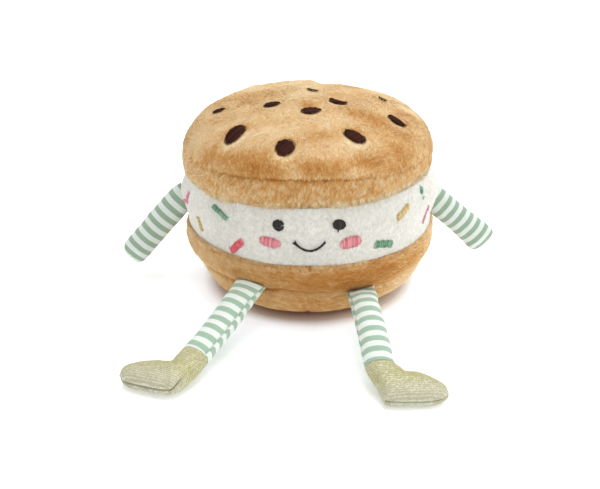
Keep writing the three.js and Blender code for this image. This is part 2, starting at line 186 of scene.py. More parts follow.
paper = Finish("white_paper", Roughness=0.75, Emission_Strength=1.0)
# The paper glows with painted light, most close round the toy and farther out to the sides and behind, to
# lift its shadows.
out_from_toy = paper.node("ShaderNodeVectorMath", {"operation": "LENGTH"}, {0: paper.place()}, out="Value")
back = paper.node("ShaderNodeSeparateXYZ", None, {"Vector": paper.place()}, out="Y")
side_glow = paper.ramp(out_from_toy + back * SIDE_GLOW_SKEW, SIDE_GLOW)
glow = paper.mix(1.0, paper.ramp(out_from_toy, FLOOR_GLOW), side_glow, "ADD")
plain = paper.mix(paper.noise(4.0), (0.93, 0.93, 0.93, 1), (0.96, 0.96, 0.96, 1))
# Painted shadow: the paper's colour darkens to tan right under the toy.
painted_contact_shadow = paper.ramp(out_from_toy, PAINTED_CONTACT_SHADOW)
paper.drive(Base_Color=paper.mix(1.0, plain, painted_contact_shadow, "MULTIPLY"), Emission_Color=glow)
floor_mesh = bpy.data.meshes.new("floor")
half = FLOOR_HALF * MM
corners = [(-half, -half, 0), (half, -half, 0), (half, half, 0), (-half, half, 0)]
floor_mesh.from_pydata(corners, [], [(0, 1, 2, 3)])
floor_mesh.materials.append(paper.material)
floor = bpy.data.objects.new("floor", floor_mesh)
bpy.context.scene.collection.objects.link(floor)

# ==== Lower cookie ================================================================================
# A stuffed disc of tan short-pile plush: a flat base panel gathered round to a seam, then a side
# panel that bulges over it and is sewn to the ice cream. Folds and puckers gather along the seam,
# and the pile lies in brushed clouds, dark where it stands against the light.
# Painted into the nap: shade over the front of the side panel, in the seam's crease and below the seam at the
# front, and light up the right side and below the seam there.

LOW_SEAM = (70.0, 23.0)        # radius, height
LOW_BULGE = (75.3, 32.5)
BASE_RADIUS = 41.0
LOW_TOP = 41.7
PILE_ROOM = 1.0                # the cloth lies this far inside the finished shape, under its pile
TANS = [linear(182, 116, 48), linear(212, 160, 96), linear(236, 202, 152), linear(250, 228, 188)]
BODY_SIDES = 520               # points round each of the three body pieces
FULL_PILE = 49000              # as many locks as stay under 200,000 triangles in one mesh
RIM_PILE = 9000


def smooth(value):
    """0 below 0, 1 above 1 and a smooth step between them."""
    share = np.clip(value, 0, 1)
    return share * share * (3 - 2 * share)


def hump(distance, width):
    """1 at distance 0, falling away as a bell of that half width."""
    return np.exp(-(distance / width) ** 2)


def cloud(places, size, seed):
    """Smooth random values from -1 to 1. Random numbers stand on a lattice of cells of the given size, and
    each place takes the mean of its cell's eight corners, weighted by a smooth step along each axis."""
    lattice = np.random.default_rng(seed).uniform(-1, 1, (32, 32, 32))
    cell = np.floor(places / size).astype(int)
    part = smooth(places / size - cell)
    total = 0.0
    for corner in np.ndindex(2, 2, 2):
        weight = np.prod(np.where(corner, part, 1 - part), axis=-1)
        x, y, z = np.moveaxis((cell + corner) % 32, -1, 0)
        total = total + weight * lattice[x, y, z]
    return total


def unit(vectors):
    """The same directions with length 1."""
    return vectors / np.maximum(np.linalg.norm(vectors, axis=-1, keepdims=True), 1e-9)


class TurnedSkin:
    """A sewn skin turned about the upright axis. A point is the profile's radius and height at distance s
    along it, carried round to a bearing (degrees from the face towards +X), pushed out along the profile's
    normal by the relief and by a lift, and then settled with the stack."""

    def __init__(self, profile, relief, settle):
        profile = np.array(profile, float)
        steps = np.hypot(*np.diff(profile, axis=0).T)
        reach = np.concatenate([[0], np.cumsum(steps)])
        self.length = reach[-1]
        self.s = np.linspace(0, self.length, int(self.length / 0.2))
        raw = np.stack([np.interp(self.s, reach, profile[:, k]) for k in (0, 1)])
        window = np.hanning(13) / np.hanning(13).sum()
        padded = np.pad(raw, ((0, 0), (6, 6)), mode="edge")
        self.radius, self.height = (np.convolve(row, window, "valid") for row in padded)
        slope = np.stack([np.gradient(self.radius), np.gradient(self.height)])
        slope /= np.maximum(np.hypot(*slope), 1e-9)
        self.out_r, self.out_z = slope[1], -slope[0]
        self.relief = relief
        self.settle = settle

    def at_height(self, z, first, last=1e9):
        """Distance along the profile at which a rising stretch of it reaches a height."""
        part = (self.s >= first) & (self.s <= last)
        return np.interp(z, self.height[part], self.s[part])

    def bare(self, s, bearing, push=0.0):
        """The profile carried round, before the stack settles."""
        angle = np.radians(bearing)
        radius = np.interp(s, self.s, self.radius) + push * np.interp(s, self.s, self.out_r)
        height = np.interp(s, self.s, self.height) + push * np.interp(s, self.s, self.out_z)
        return np.stack(np.broadcast_arrays(radius * np.sin(angle), -radius * np.cos(angle), height), -1)

    def point(self, s, bearing, lift=0.0):
        push = self.relief(s, bearing, self.bare(s, bearing)) + lift
        return self.settle(self.bare(s, bearing, push))

    def axes(self, s, bearing):
        """The place, and unit vectors outwards, up along the profile and round the axis."""
        up = self.point(s + 0.4, bearing) - self.point(s - 0.4, bearing)
        turn = 30 / np.maximum(np.interp(s, self.s, self.radius), 2.0)
        round_it = self.point(s, bearing + turn) - self.point(s, bearing - turn)
        outward = unit(np.cross(round_it, up))
        up = unit(up - outward * np.sum(up * outward, -1, keepdims=True))
        return self.point(s, bearing), outward, up, np.cross(up, outward)


def paint(mesh, key, values):
    """Keeps a value for each point of a mesh, under a name that materials can read."""
    mesh.attributes.new(key, "FLOAT", "POINT").data.foreach_set("value", values.astype(np.float32))


def closed_mesh(name, rings, **paints):
    """A closed mesh over a grid of rings: neighbours along and round are joined by quads, and each end
    ring fans into its own middle. Paints are values for each grid point, kept as attributes."""
    rows, sides = rings.shape[:2]
    ends = np.stack([rings[0].mean(0), rings[-1].mean(0)])
    points = np.concatenate([rings.reshape(-1, 3), ends]) * MM
    here = np.arange(rows * sides).reshape(rows, sides)
    after = np.roll(here, -1, axis=1)
    quads = np.stack([here[:-1], after[:-1], after[1:], here[1:]], -1).reshape(-1, 4)
    first = np.stack([after[0], here[0], np.full(sides, rows * sides)], -1)
    last = np.stack([here[-1], after[-1], np.full(sides, rows * sides + 1)], -1)
    mesh = bpy.data.meshes.new(name)
    mesh.from_pydata(points.tolist(), [], [*quads.tolist(), *first.tolist(), *last.tolist()])
    mesh.shade_smooth()
    for key, values in paints.items():
        grid = np.broadcast_to(values, (rows, sides))
        paint(mesh, key, np.concatenate([grid.ravel(), [grid[0].mean(), grid[-1].mean()]]))
    return mesh


def piece(name, mesh, finish, stands_for=()):
    """A finished object that rides on the toy's one body."""
    mesh.materials.append(finish.material)
    made = bpy.data.objects.new(name, mesh)
    bpy.context.scene.collection.objects.link(made)
    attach(made, "root")
    if stands_for:
        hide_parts(*stands_for)


def stuffed(name, skin, rows, nap, finish, node):
    """A stuffed piece: a whole turned skin as rings at the rows' distances, painted with its nap."""
    s, bearing = np.meshgrid(rows, np.linspace(-180, 180, BODY_SIDES, endpoint=False), indexing="ij")
    mesh = closed_mesh(name, skin.point(s, bearing), nap=nap(s, bearing, skin.bare(s, bearing)))
    piece(name, mesh, finish, [node])


def spread(count, skin, first, last):
    """Evenly strewn spots on a stretch of skin: a two-number sequence with no clumps, its first number
    stretched so that each spot has the same area of cloth."""
    order = np.arange(count)
    share = (0.5 + order * 0.7548776662466927) % 1
    turn = (0.5 + order * 0.5698402909980532) % 1
    s = np.linspace(first, last, 400)
    area = np.cumsum(np.interp(s, skin.s, skin.radius))
    return np.interp(share * area[-1], area, s), 360 * turn - 180


def trail(places, direction, size, seed):
    """Streaks from about -1 to 1: the cloud added up over four steps along the direction, and scaled."""
    steps = (cloud(places + step * 1.3 * size * direction, size, seed) for step in (-1.5, -0.5, 0.5, 1.5))
    return sum(steps) / 2.2


def everywhere(s, bearing):
    """Keeps every spot."""
    return np.ones(len(s), bool)


def locks(name, finish, skin, spots, comb, lift, size, nap, seed, keep=everywhere, streak=(1.0, 1.25)):
    """A piece of pile. Each lock is a slim closed spike: a triangle at the root, sunk in the cloth, and
    one point at the tip. It leans from the cloth by the lift, towards the comb's direction, which is
    degrees from straight down the cloth; both wander a little from lock to lock. It is shaded mostly as the
    cloth under it is, so that the pile looks soft. The size is a lock's length and width, and the streak is
    how strongly and how coarsely it clumps. Only spots that keep() allows get a lock."""
    draw = np.random.default_rng(seed)
    s, bearing = spots
    kept = keep(s, bearing)
    s, bearing = s[kept], bearing[kept]
    place, outward, up, round_it = skin.axes(s, bearing)
    count = len(s)
    shade = nap(s, bearing, skin.bare(s, bearing)) + draw.normal(0, 0.055, count)
    turn = np.radians(comb(s, bearing, skin.bare(s, bearing)) + draw.normal(0, 15, count))[:, None]
    flat = round_it * np.sin(turn) - up * np.cos(turn)
    clump = trail(place, flat, streak[1], seed) * streak[0]
    shade = shade + 0.22 * clump
    lean = np.radians(np.broadcast_to(lift, kept.shape)[kept] + 8 * clump + draw.normal(0, 5, count))[:, None]
    across = np.cross(flat, outward)
    length, width = size
    reach = (length * draw.uniform(0.75, 1.2, count) * (1 + 0.25 * clump))[:, None]
    half = (width / 2 * draw.uniform(0.65, 1.3, count))[:, None]
    axis = flat * np.cos(lean) + outward * np.sin(lean)
    back = outward * np.cos(lean) - flat * np.sin(lean)
    root = place - 0.25 * outward
    corners = np.stack([root - across * half, root + across * half,
                        root + back * half * 0.9, root + axis * reach], 1)
    corners[..., 2] = np.maximum(corners[..., 2], 0.05)
    left, right, top = outward - 0.45 * across, outward + 0.45 * across, outward + 0.3 * back
    below = flat + 0.3 * outward
    facing = np.stack([below, below, below, right, outward, top, top, outward, left, below, below, below], 1)
    base = 4 * np.arange(count)[:, None, None]
    faces = (base + np.array([[0, 3, 1], [1, 3, 2], [2, 3, 0], [0, 1, 2]])).reshape(-1, 3)
    mesh = bpy.data.meshes.new(name)
    mesh.vertices.add(4 * count)
    mesh.vertices.foreach_set("co", (corners * MM).astype(np.float32).ravel())
    mesh.loops.add(faces.size)
    mesh.loops.foreach_set("vertex_index", faces.astype(np.int32).ravel())
    mesh.polygons.add(len(faces))
    mesh.polygons.foreach_set("loop_start", np.arange(0, faces.size, 3, dtype=np.int32))
    mesh.update(calc_edges=True)
    paint(mesh, "nap", np.repeat(shade, 4))
    paint(mesh, "tip", np.tile([0.0, 0.0, 0.15, 1.0], count))
    mesh.shade_smooth()
    mesh.normals_split_custom_set(unit(facing).reshape(-1, 3).tolist())
    # A lock's UV map puts it in a few pixels where its root lies on the unrolled cloth.
    dot = np.array([[-1, 0], [1, 0], [0, 1], [0, -1.2]]) * 0.0012
    spot = np.stack([(bearing + 180) / 360, s / skin.length], -1)[:, None] * 0.98 + 0.01 + dot
    chart = mesh.uv_layers.new(name="OFBake")
    chart.uv.foreach_set("vector", spot.reshape(-1, 2)[faces.ravel()].astype(np.float32).ravel())
    piece(name, mesh, finish)


def plush(name, colours, shadow, tips):
    """Short plush. The nap attribute picks the colour from dark, brushed against the light, to light; a
    little noise breaks it up, roots are darker by the shadow and tips lighter."""
    finish = Finish(name, Roughness=0.85, Sheen_Weight=0.16, Sheen_Roughness=0.5, Specular_IOR_Level=0.2,
                    Sheen_Tint=colours[-2])
    speckle = (finish.noise(900.0, 3.0) - 0.5) * 0.25
    stops = [(k / (len(colours) - 1), colour) for k, colour in enumerate(colours)]
    cloth = finish.ramp(finish.attribute("nap") + speckle, stops)
    if tips:
        dark = tuple(v * shadow for v in (1, 0.96, 0.9)) + (1.0,)
        shade = finish.ramp(finish.attribute("tip"), [(0.0, dark), (0.55, (1, 1, 1, 1))])
        finish.drive(Base_Color=finish.mix(1.0, cloth, shade, "MULTIPLY"))
    else:
        finish.drive(Base_Color=finish.mix(1.0, cloth, (shadow, shadow * 0.97, shadow * 0.92, 1), "MULTIPLY"))
        finish.bump(finish.noise(700.0, 4.0), 0.0006, 0.6)
    return finish


tan_ground = plush("tan_plush_ground", TANS, shadow=0.8, tips=False)
tan_pile = plush("tan_plush_pile", TANS, shadow=0.72, tips=True)

quarter = np.linspace(0, math.pi / 2, 24)
lower_profile = [
    (0.0, 0.0), (BASE_RADIUS, 0.0),
    *zip(BASE_RADIUS + (LOW_SEAM[0] - BASE_RADIUS) * np.sin(quarter), LOW_SEAM[1] * (1 - np.cos(quarter))),
    *zip(LOW_SEAM[0] + (LOW_BULGE[0] - LOW_SEAM[0]) * np.sin(quarter),
         LOW_SEAM[1] + (LOW_BULGE[1] - LOW_SEAM[1]) * quarter / quarter[-1]),
    *zip(LOW_BULGE[0] - 2.4 * (1 - np.cos(quarter)),
         LOW_BULGE[1] + (LOW_TOP - LOW_BULGE[1]) * np.sin(quarter)),
    (0.0, LOW_TOP),
]


def from_lower_seam(s, place):
    """Distance up the cloth from the seam, which strays a little on its way round."""
    return s - lower_seam_s - 0.9 * cloud(place * (1, 1, 0), 13.0, 3)


def lower_relief(s, bearing, place):
    """A sharp crease at the seam with puckers that fade away from it, broad stuffing lumps, and a dimple in
    the middle of the front where the side panel is joined."""
    away = from_lower_seam(s, place)
    strong = 0.3 + 0.7 * hump(bearing + 10, 38)
    crease = -1.5 * strong * np.exp(-np.abs(away / 1.3) ** 1.3)
    puckers = 0.75 * cloud(place * (1, 1, 0.25), 5.5, 4) * np.exp(-np.abs(away) / 4.5)
    lumps = 0.8 * cloud(place, 22.0, 5) + 0.3 * cloud(place, 9.0, 6)
    lumps = lumps - 2.2 * hump(bearing + 58, 26) * hump(s - lower_seam_s + 7, 9)
    joint = -0.9 * hump(bearing + 3.4 + 0.12 * (place[..., 2] - 18), 1.6) * smooth((27 - place[..., 2]) / 8)
    rim = smooth((place[..., 2] - 0.5) / 3)
    flat_top = 1 - smooth((s - lower_top_s) / 3)
    return (crease + puckers + lumps + joint) * rim * flat_top - PILE_ROOM * rim


def lower_nap(s, bearing, place):
    """Clouds of brushed pile; painted shade over the front of the side panel, in the seam's crease and below
    the seam at the front; painted light up the right side and below the seam there.
    """
    z = place[..., 2]
    streaks = 0.15 * cloud(place * (0.4, 0.4, 1.1) + 0.8 * cloud(place, 4.0, 17)[..., None], 1.4, 13)
    clouds = 0.09 * cloud(place, 21.0, 11) + 0.06 * cloud(place, 8.0, 12)
    # Painted shade over the front of the side panel.
    front = -0.50 * hump(bearing - 14, 44) * smooth((z - 22) / 3) * smooth((42 - z) / 6)
    # Below the seam: painted light at the right and painted shade at the front, near the floor.
    under = (0.18 * hump(bearing - 60, 20) - 0.26 * hump(bearing - 2, 44)) * smooth((24 - z) / 4)
    # Painted light up the right side.
    side = 0.14 * hump(bearing - 74, 16) * smooth((z - 20) / 6)
    drawn = hump(bearing + 12, 16) + 0.8 * hump(bearing + 58, 30) + 0.5 * hump(bearing - 24, 16)
    # Painted shade in the seam's crease, where it is drawn tight.
    seam = -0.6 * hump(from_lower_seam(s, place), 0.9) * drawn
    return 0.58 + streaks + clouds + front + under + side + seam


def lower_comb(s, bearing, place):
    """Diagonal at the left, turning level over the front and right."""
    return 50 + 34 * smooth((bearing + 40) / 40) + 40 * cloud(place, 24.0, 14) + 30 * cloud(place, 7.0, 15)


lower_skin = TurnedSkin(lower_profile, lower_relief, lambda points: points)
lower_seam_s = float(lower_skin.at_height(LOW_SEAM[1], BASE_RADIUS + 2))
lower_top_s = float(lower_skin.at_height(LOW_TOP - 0.6, BASE_RADIUS + 2, lower_skin.length - 70))
rows = np.concatenate([np.linspace(1, BASE_RADIUS - 4, 5), np.arange(BASE_RADIUS, lower_top_s + 6, 0.7),
                       np.linspace(lower_top_s + 12, lower_skin.length - 1, 6)])
stuffed("lower_cookie", lower_skin, rows, lower_nap, tan_ground, "cookie_bottom")
low_spots = spread(FULL_PILE, lower_skin, BASE_RADIUS + 9, lower_top_s + 1.5)
locks("lower_cookie_pile", tan_pile, lower_skin, low_spots, lower_comb, lift=22,
      size=(1.7, 0.62), nap=lower_nap, seed=21, streak=(1.3, 0.55))


def rim_nap(s, bearing, place):
    """The side panel's own shade, with dark specks along the middle of the front."""
    specks = smooth(3 * cloud(place, 1.2, 18) - 0.6) * (0.15 + 0.85 * hump(bearing - 2, 30))
    return lower_nap(s, bearing, place) - 0.5 * specks


def rim_comb(s, bearing, place):
    """Straight up the cloth, over the seam."""
    return 180 + 50 * cloud(place, 3.0, 16)


rim_spots = spread(RIM_PILE, lower_skin, lower_top_s - 2.6, lower_top_s + 2.0)
locks("lower_cookie_rim_pile", tan_pile, lower_skin, rim_spots, rim_comb, lift=46,
      size=(2.3, 0.6), nap=rim_nap, seed=22)

# ==== Ice cream drum ==============================================================================
# A stuffed drum of warm white plush between the cookies, with a finer and shorter pile. It is drawn
# outwards where the arms are sewn in, and rolls under at both seams.

BAND_BOTTOM = (72.9, 41.55)
BAND_TOP = (71.2, 74.85)
BAND_SWELL = 1.1
BAND_RADIUS = 73.0             # at which widths round the drum are measured
SHOULDERS = ((-92, 3.6), (92, 5.2))      # bearing, how far the arm draws the cloth out
SHOULDER_SPREAD = 22.0
SHOULDER_Z = (60.0, 13.0)      # middle, and how far up and down
SETTLE_Z = (41.4, 33.6)        # where the stack's lean starts, and the height it takes
TOP_SHIFT = -1.5
TOP_ROLL = 0.023
WHITE_DARK = linear(200, 198, 190)
WHITE_LIGHT = linear(250, 251, 247)


def settle(points):
    """The stack above the lower cookie shifts left and rises on the right, more with height."""
    x, y, z = np.moveaxis(points, -1, 0)
    share = np.clip((z - SETTLE_Z[0]) / SETTLE_Z[1], 0, 1)
    return np.stack([x + TOP_SHIFT * share, y, z + TOP_ROLL * x * share], -1)


def drum_relief(s, bearing, place):
    """The swell between the seams, the pull of the arms, a roll under at each seam, small gathers along the
    lower seam and faint level wrinkles above it."""
    z = place[..., 2]
    share = np.clip((z - BAND_BOTTOM[1]) / (BAND_TOP[1] - BAND_BOTTOM[1]), 0, 1)
    side = smooth((s - drum_low_s + 3) / 4) * smooth((drum_high_s + 3 - s) / 4)
    shape = BAND_SWELL * np.sin(math.pi * share)
    for middle, reach in SHOULDERS:
        away = (bearing - middle + 180) % 360 - 180
        level = smooth(1 - np.abs(z - SHOULDER_Z[0]) / SHOULDER_Z[1])
        shape = shape + reach * hump(away, SHOULDER_SPREAD) * level
    gathers = 0.35 * cloud(place * (1, 1, 0.2), 3.4, 31) * np.exp(-np.abs(z - BAND_BOTTOM[1]) / 3.0)
    wrinkles = 0.28 * cloud(place * (0.12, 0.12, 1.0), 2.6, 32) * hump(z - 46.5, 4.0)
    lumps = 0.45 * cloud(place, 20.0, 33) + 0.12 * cloud(place, 7.0, 34)
    return (shape + gathers + wrinkles + lumps - 0.5) * side


drum_profile = [
    (0.0, BAND_BOTTOM[1]), (BAND_BOTTOM[0], BAND_BOTTOM[1]),
    *((BAND_BOTTOM[0] + (BAND_TOP[0] - BAND_BOTTOM[0]) * t ** 1.6,
       BAND_BOTTOM[1] + (BAND_TOP[1] - BAND_BOTTOM[1]) * t) for t in np.linspace(0, 1, 20)),
    (0.0, BAND_TOP[1]),
]
drum_low_s, drum_high_s = BAND_BOTTOM[0] + 0.6, BAND_BOTTOM[0] + 32.8      # its side, along the profile
drum_skin = TurnedSkin(drum_profile, drum_relief, settle)


def drum_nap(s, bearing, place):
    """Faint clouds and a fine grain, and painted light that makes it lighter at both sides."""
    # Painted light: lighter towards both sides of the drum.
    sides = 0.22 * smooth((bearing - 30) / 40) + 0.14 * smooth((-bearing - 44) / 20)
    grain = 0.08 * cloud(place, 1.6, 36) + 0.32 * cloud(place, 0.8, 38)
    return 0.44 + 0.08 * cloud(place, 16.0, 35) + grain + sides


def drum_comb(s, bearing, place):
    """Down the cloth, straying by up to 60 degrees."""
    return 5 + 60 * cloud(place, 9.0, 37)


white_ground = plush("white_plush_ground", [WHITE_DARK, WHITE_LIGHT], shadow=0.9, tips=False)
white_pile = plush("white_plush_pile", [WHITE_DARK, WHITE_LIGHT], shadow=0.86, tips=True)
rows = np.concatenate([np.linspace(1, 66, 6), np.arange(drum_low_s - 4, drum_high_s + 4, 0.6),
                       np.linspace(drum_high_s + 8, drum_skin.length - 1, 6)])
stuffed("ice_cream", drum_skin, rows, drum_nap, white_ground, "ice_cream_band")

# ==== Face and sprinkles ==========================================================================
# Satin stitch on the drum, worked before it was sewn up: two black eyes, the left with a nick between
# its threads and the right with a loose end, pink cheeks, a thin smile, and sprinkle bars in green,
# red, mustard and pink. The threads run edge to edge, so the long edges are ragged.

STITCH = 0.9                   # how far the threads of the eyes and the smile stand out
FINE_STITCH = STITCH * 0.8     # and all others
BLACK_THREAD = (linear(44, 42, 41), linear(70, 67, 65))        # dark and light stitches
CHEEK_THREAD = (linear(198, 112, 122), linear(236, 168, 172))
GREEN_THREAD = (linear(92, 140, 112), linear(150, 190, 160))
RED_THREAD = (linear(214, 84, 98), linear(246, 128, 138))
MUSTARD_THREAD = (linear(200, 172, 104), linear(236, 212, 154))
PINK_THREAD = (linear(220, 126, 150), linear(248, 180, 196))
EYES = ((-12.8, 65.1, 7.1, 5.7), (12.4, 64.9, 6.7, 6.3))                # bearing, height, width, height
CHEEKS = ((-16.7, 54.9, 11.4, 6.6, -6), (17.1, 54.4, 11.8, 7.1, 9))     # and the lean
SMILE = {"first": -6.5, "last": 6.2, "top": 56.1, "drop": 4.8, "stroke": 1.2, "half": 8.1}
SPRINKLES = {                  # bearing, height, length, width, lean of each bar
    "green": (GREEN_THREAD, (
        (-41.4, 65.6, 12.6, 3.4, -25), (32.6, 49.4, 11.8, 4.2, -12), (61.2, 68.9, 4.4, 2.6, 70),
        (61.4, 64.6, 1.2, 1.0, 0), (124, 51.5, 10.4, 3.6, -48), (170, 66.2, 10.6, 3.6, -34),
        (-159, 64.4, 11.4, 4.4, -70),
    )),
    "red": (RED_THREAD, (
        (-32.9, 48.4, 12.6, 3.9, 44), (142, 62, 11.4, 4.2, 62), (-145, 49.8, 11, 4, 24),
    )),
    "mustard": (MUSTARD_THREAD, (
        (-57.6, 51.9, 8.6, 3.4, -66), (44.6, 63.4, 11.6, 3.6, 22), (112, 66.5, 11, 3.6, 30),
        (-175, 52.8, 10.8, 3.8, 51), (-114, 50.2, 10.2, 3.6, 68),
    )),
    "pink": (PINK_THREAD, (
        (-69.4, 63, 8.4, 1.7, 76), (-72.6, 59, 6.0, 0.9, 4), (63.5, 54, 10.4, 0.8, 46),
        (157, 48.6, 11.8, 3.4, 8), (-128, 62.6, 10.8, 3.6, -40),
    )),
}


def on_drum(bearing, z):
    """Places on the drum near a spot: u runs round it and v up it, in millimetres."""
    def place(u, v, lift):
        turn = np.degrees(u / BAND_RADIUS)
        s = drum_skin.at_height(z + v, 70, drum_skin.length - 66)
        return drum_skin.point(s, bearing + turn, lift)
    return place


def turned_axes(turn):
    """Directions along and across a shape turned by some degrees."""
    angle = math.radians(turn)
    return np.array([math.cos(angle), math.sin(angle)]), np.array([-math.sin(angle), math.cos(angle)])


def oval_reach(u, v, half_long, half_short, turn):
    """How far spots are from an oval's middle, where 1 is on its edge."""
    along, across = turned_axes(turn)
    spot = np.stack([u, v], -1)
    return np.hypot(spot @ along / half_long, spot @ across / half_short)


def uneven(count, ragged, draw):
    """How far threads stick out at one end and at the other, every second one more."""
    return np.where(np.arange(count) % 2, ragged, -ragged) + draw.normal(0, ragged / 2, (2, count))


def oval_rows(width, height, lean, run, pitch, ragged, draw):
    """Threads across an oval a little blunter than an ellipse: chords in the run's direction, one each
    pitch, with uneven ends."""
    along, across = turned_axes(run)
    axes = np.array(turned_axes(lean)) / (np.array([[width], [height]]) / 2)
    p, q = axes @ along, axes @ across
    a, b, c = p @ p, p @ q, q @ q
    reach = math.sqrt(a / (a * c - b * b))
    aside = np.linspace(-0.985 * reach, 0.985 * reach, max(int(2 * reach / pitch), 3))
    root = math.sqrt(a) * (1 - np.abs(aside / reach) ** 2.4) ** (1 / 2.4)
    stagger = uneven(len(aside), ragged, draw)
    ends = np.stack([(-b * aside - root) / a + stagger[0], (-b * aside + root) / a + stagger[1]], 1)
    return ends[..., None] * along + (aside[:, None] * across)[:, None]


def bar_rows(length, width, lean, slant, pitch, ragged, draw):
    """Threads across a bar: from one long edge to the other, one each pitch, leaning by the slant."""
    along, across = turned_axes(lean)
    x = np.arange(-length / 2 + pitch / 2, length / 2, pitch)
    stagger = uneven(len(x), ragged, draw)
    low = (x - slant)[:, None] * along + (-width / 2 + stagger[0])[:, None] * across
    high = (x + slant)[:, None] * along + (width / 2 + stagger[1])[:, None] * across
    return np.stack([low, high], 1)


def threads(rows, place, draw, rise=FINE_STITCH, thick=0.66):
    """Points of satin threads. Each runs straight between its two ends in the cloth's own plane, climbs
    from under the cloth to the rise by 1 minus the fourth power of its distance from the middle, and has a
    four-sided section that narrows to both ends. Returns threads x steps x corners x 3, and shades."""
    t = np.linspace(0, 1, 9)
    start, end = rows[:, 0, None], rows[:, 1, None]
    middle = start + (end - start) * t[None, :, None]
    away = unit(end - start)
    beside = np.stack([-away[..., 1], away[..., 0]], -1)
    edge = np.abs(2 * t - 1)
    height = -0.35 + (rise + 0.35) * (1 - edge ** 4) * (1 + 0.08 * draw.normal(0, 1, (len(rows), 1)))
    narrow = np.sqrt(np.maximum(1 - edge ** 6, 0.04))
    sections = []
    for side, lift in ((-0.5, 0.0), (0.0, 0.42), (0.5, 0.0), (0.0, -0.5)):
        spot = middle + beside * (side * thick * narrow)[None, :, None]
        sections.append(place(spot[..., 0], spot[..., 1], height + lift * thick * narrow[None]))
    return np.stack(sections, 2), draw.uniform(0, 1, len(rows))


def stitch(name, bundles, finish, stands_for=()):
    """A piece of many threads in one mesh, each a closed four-sided tube."""
    points = np.concatenate([b[0] for b in bundles])
    shades = np.concatenate([b[1] for b in bundles])
    count, steps = points.shape[:2]
    index = np.arange(count * steps * 4).reshape(count, steps, 4)
    after = np.roll(index, -1, axis=2)
    walls = np.stack([index[:, :-1], after[:, :-1], after[:, 1:], index[:, 1:]], -1).reshape(-1, 4)
    ends = np.concatenate([index[:, 0, ::-1], index[:, -1]])
    mesh = bpy.data.meshes.new(name)
    mesh.from_pydata((points.reshape(-1, 3) * MM).tolist(), [], [*walls.tolist(), *ends.tolist()])
    mesh.shade_smooth()
    paint(mesh, "shade", np.repeat(shades, steps * 4))
    piece(name, mesh, finish, stands_for)


def thread_finish(name, dark, light):
    """Rayon thread: each stitch between a dark and a light shade, with a fine twist and a soft shine."""
    finish = Finish(name, Specular_IOR_Level=0.1)
    finish.drive(Base_Color=finish.mix(finish.attribute("shade"), dark, light),
                 Roughness=0.5 + finish.noise(1500.0) * 0.2)
    finish.bump(finish.noise(2600.0, 1.0), 0.0001)
    return finish


draw = np.random.default_rng(41)
left_eye, right_eye = EYES
left_rows = oval_rows(*left_eye[2:], lean=0, run=4, pitch=0.36, ragged=0.10, draw=draw)
# The nick: the threads near the eye's middle end short at one side.
nick = np.abs(left_rows[:, 1, 1] + 0.1) < 0.4
left_rows[nick, 1, 0] -= 2.1
right_rows = oval_rows(*right_eye[2:], lean=0, run=78, pitch=0.36, ragged=0.10, draw=draw)
loose_end = np.array([[[-0.9, -2.4], [-0.8, -4.2]]])
eyes = [
    threads(left_rows, on_drum(*left_eye[:2]), draw, STITCH, 0.62),
    threads(right_rows, on_drum(*right_eye[:2]), draw, STITCH, 0.62),
    threads(loose_end, on_drum(*right_eye[:2]), draw, 0.7, 0.7),
]
black_finish = thread_finish("black_thread", *BLACK_THREAD)
stitch("eyes", eyes, black_finish, ["eye_left", "eye_right"])

cheeks = [
    threads(oval_rows(width, height, lean, run=84 + lean, pitch=0.4, ragged=0.46, draw=draw),
            on_drum(bearing, z), draw)
    for bearing, z, width, height, lean in CHEEKS
]
stitch("cheeks", cheeks, thread_finish("cheek_thread", *CHEEK_THREAD),
       ["cheek_left", "cheek_right"])

share = np.linspace(0, 1, 56)
smile_u = np.radians(SMILE["first"] + (SMILE["last"] - SMILE["first"]) * share) * BAND_RADIUS
smile_v = -SMILE["drop"] * (1 - (2 * share - 1) ** 2)
slope = np.arctan2(np.gradient(smile_v), np.gradient(smile_u))
stroke = SMILE["stroke"] / 2 * (1 + 1.25 * smooth(1 - 8 * share)) * (1 + 0.14 * draw.normal(0, 1, len(share)))
across = np.stack([-np.sin(slope), np.cos(slope)], -1) * stroke[:, None]
middle = np.stack([smile_u, smile_v], -1)
smile = threads(np.stack([middle - across, middle + across], 1), on_drum(0, SMILE["top"]), draw, STITCH, 0.5)
stitch("smile_stitching", [smile], black_finish, ["smile"])

for colour_name, (colours, bars) in SPRINKLES.items():
    bundles = [
        threads(bar_rows(length, width, lean, slant=0.25, pitch=0.52, ragged=0.42, draw=draw),
                on_drum(bearing, z), draw)
        for bearing, z, length, width, lean in bars
    ]
    finish = thread_finish(f"{colour_name}_thread", *colours)
    stitch(f"sprinkles_{colour_name}", bundles, finish)

STITCHED = [*((b, z, w, h, 0) for b, z, w, h in EYES), *CHEEKS,
            *(bar for _, bars in SPRINKLES.values() for bar in bars)]


def clear_of_stitches(s, bearing):
    """True where no embroidery covers the drum's pile."""
    height = np.interp(s, drum_skin.s, drum_skin.height)
    free = np.ones(len(s), bool)
    for middle, z, width, tall, lean in STITCHED:
        u = np.radians((bearing - middle + 180) % 360 - 180) * BAND_RADIUS
        free &= oval_reach(u, height - z, width / 2 - 0.2, tall / 2 - 0.2, lean) > 1
    u = np.radians(bearing) * BAND_RADIUS
    hang = SMILE["top"] - SMILE["drop"] * (1 - np.clip(u / SMILE["half"], -1.2, 1.2) ** 2)
    return free & ((np.abs(height - hang) > 0.9) | (np.abs(u) > SMILE["half"] + 0.5))


drum_spots = spread(FULL_PILE, drum_skin, drum_low_s - 1.5, drum_high_s + 1.5)
locks("ice_cream_pile", white_pile, drum_skin, drum_spots, drum_comb, lift=16,
      size=(1.25, 0.5), nap=drum_nap, seed=43, keep=clear_of_stitches, streak=(0.9, 0.7))
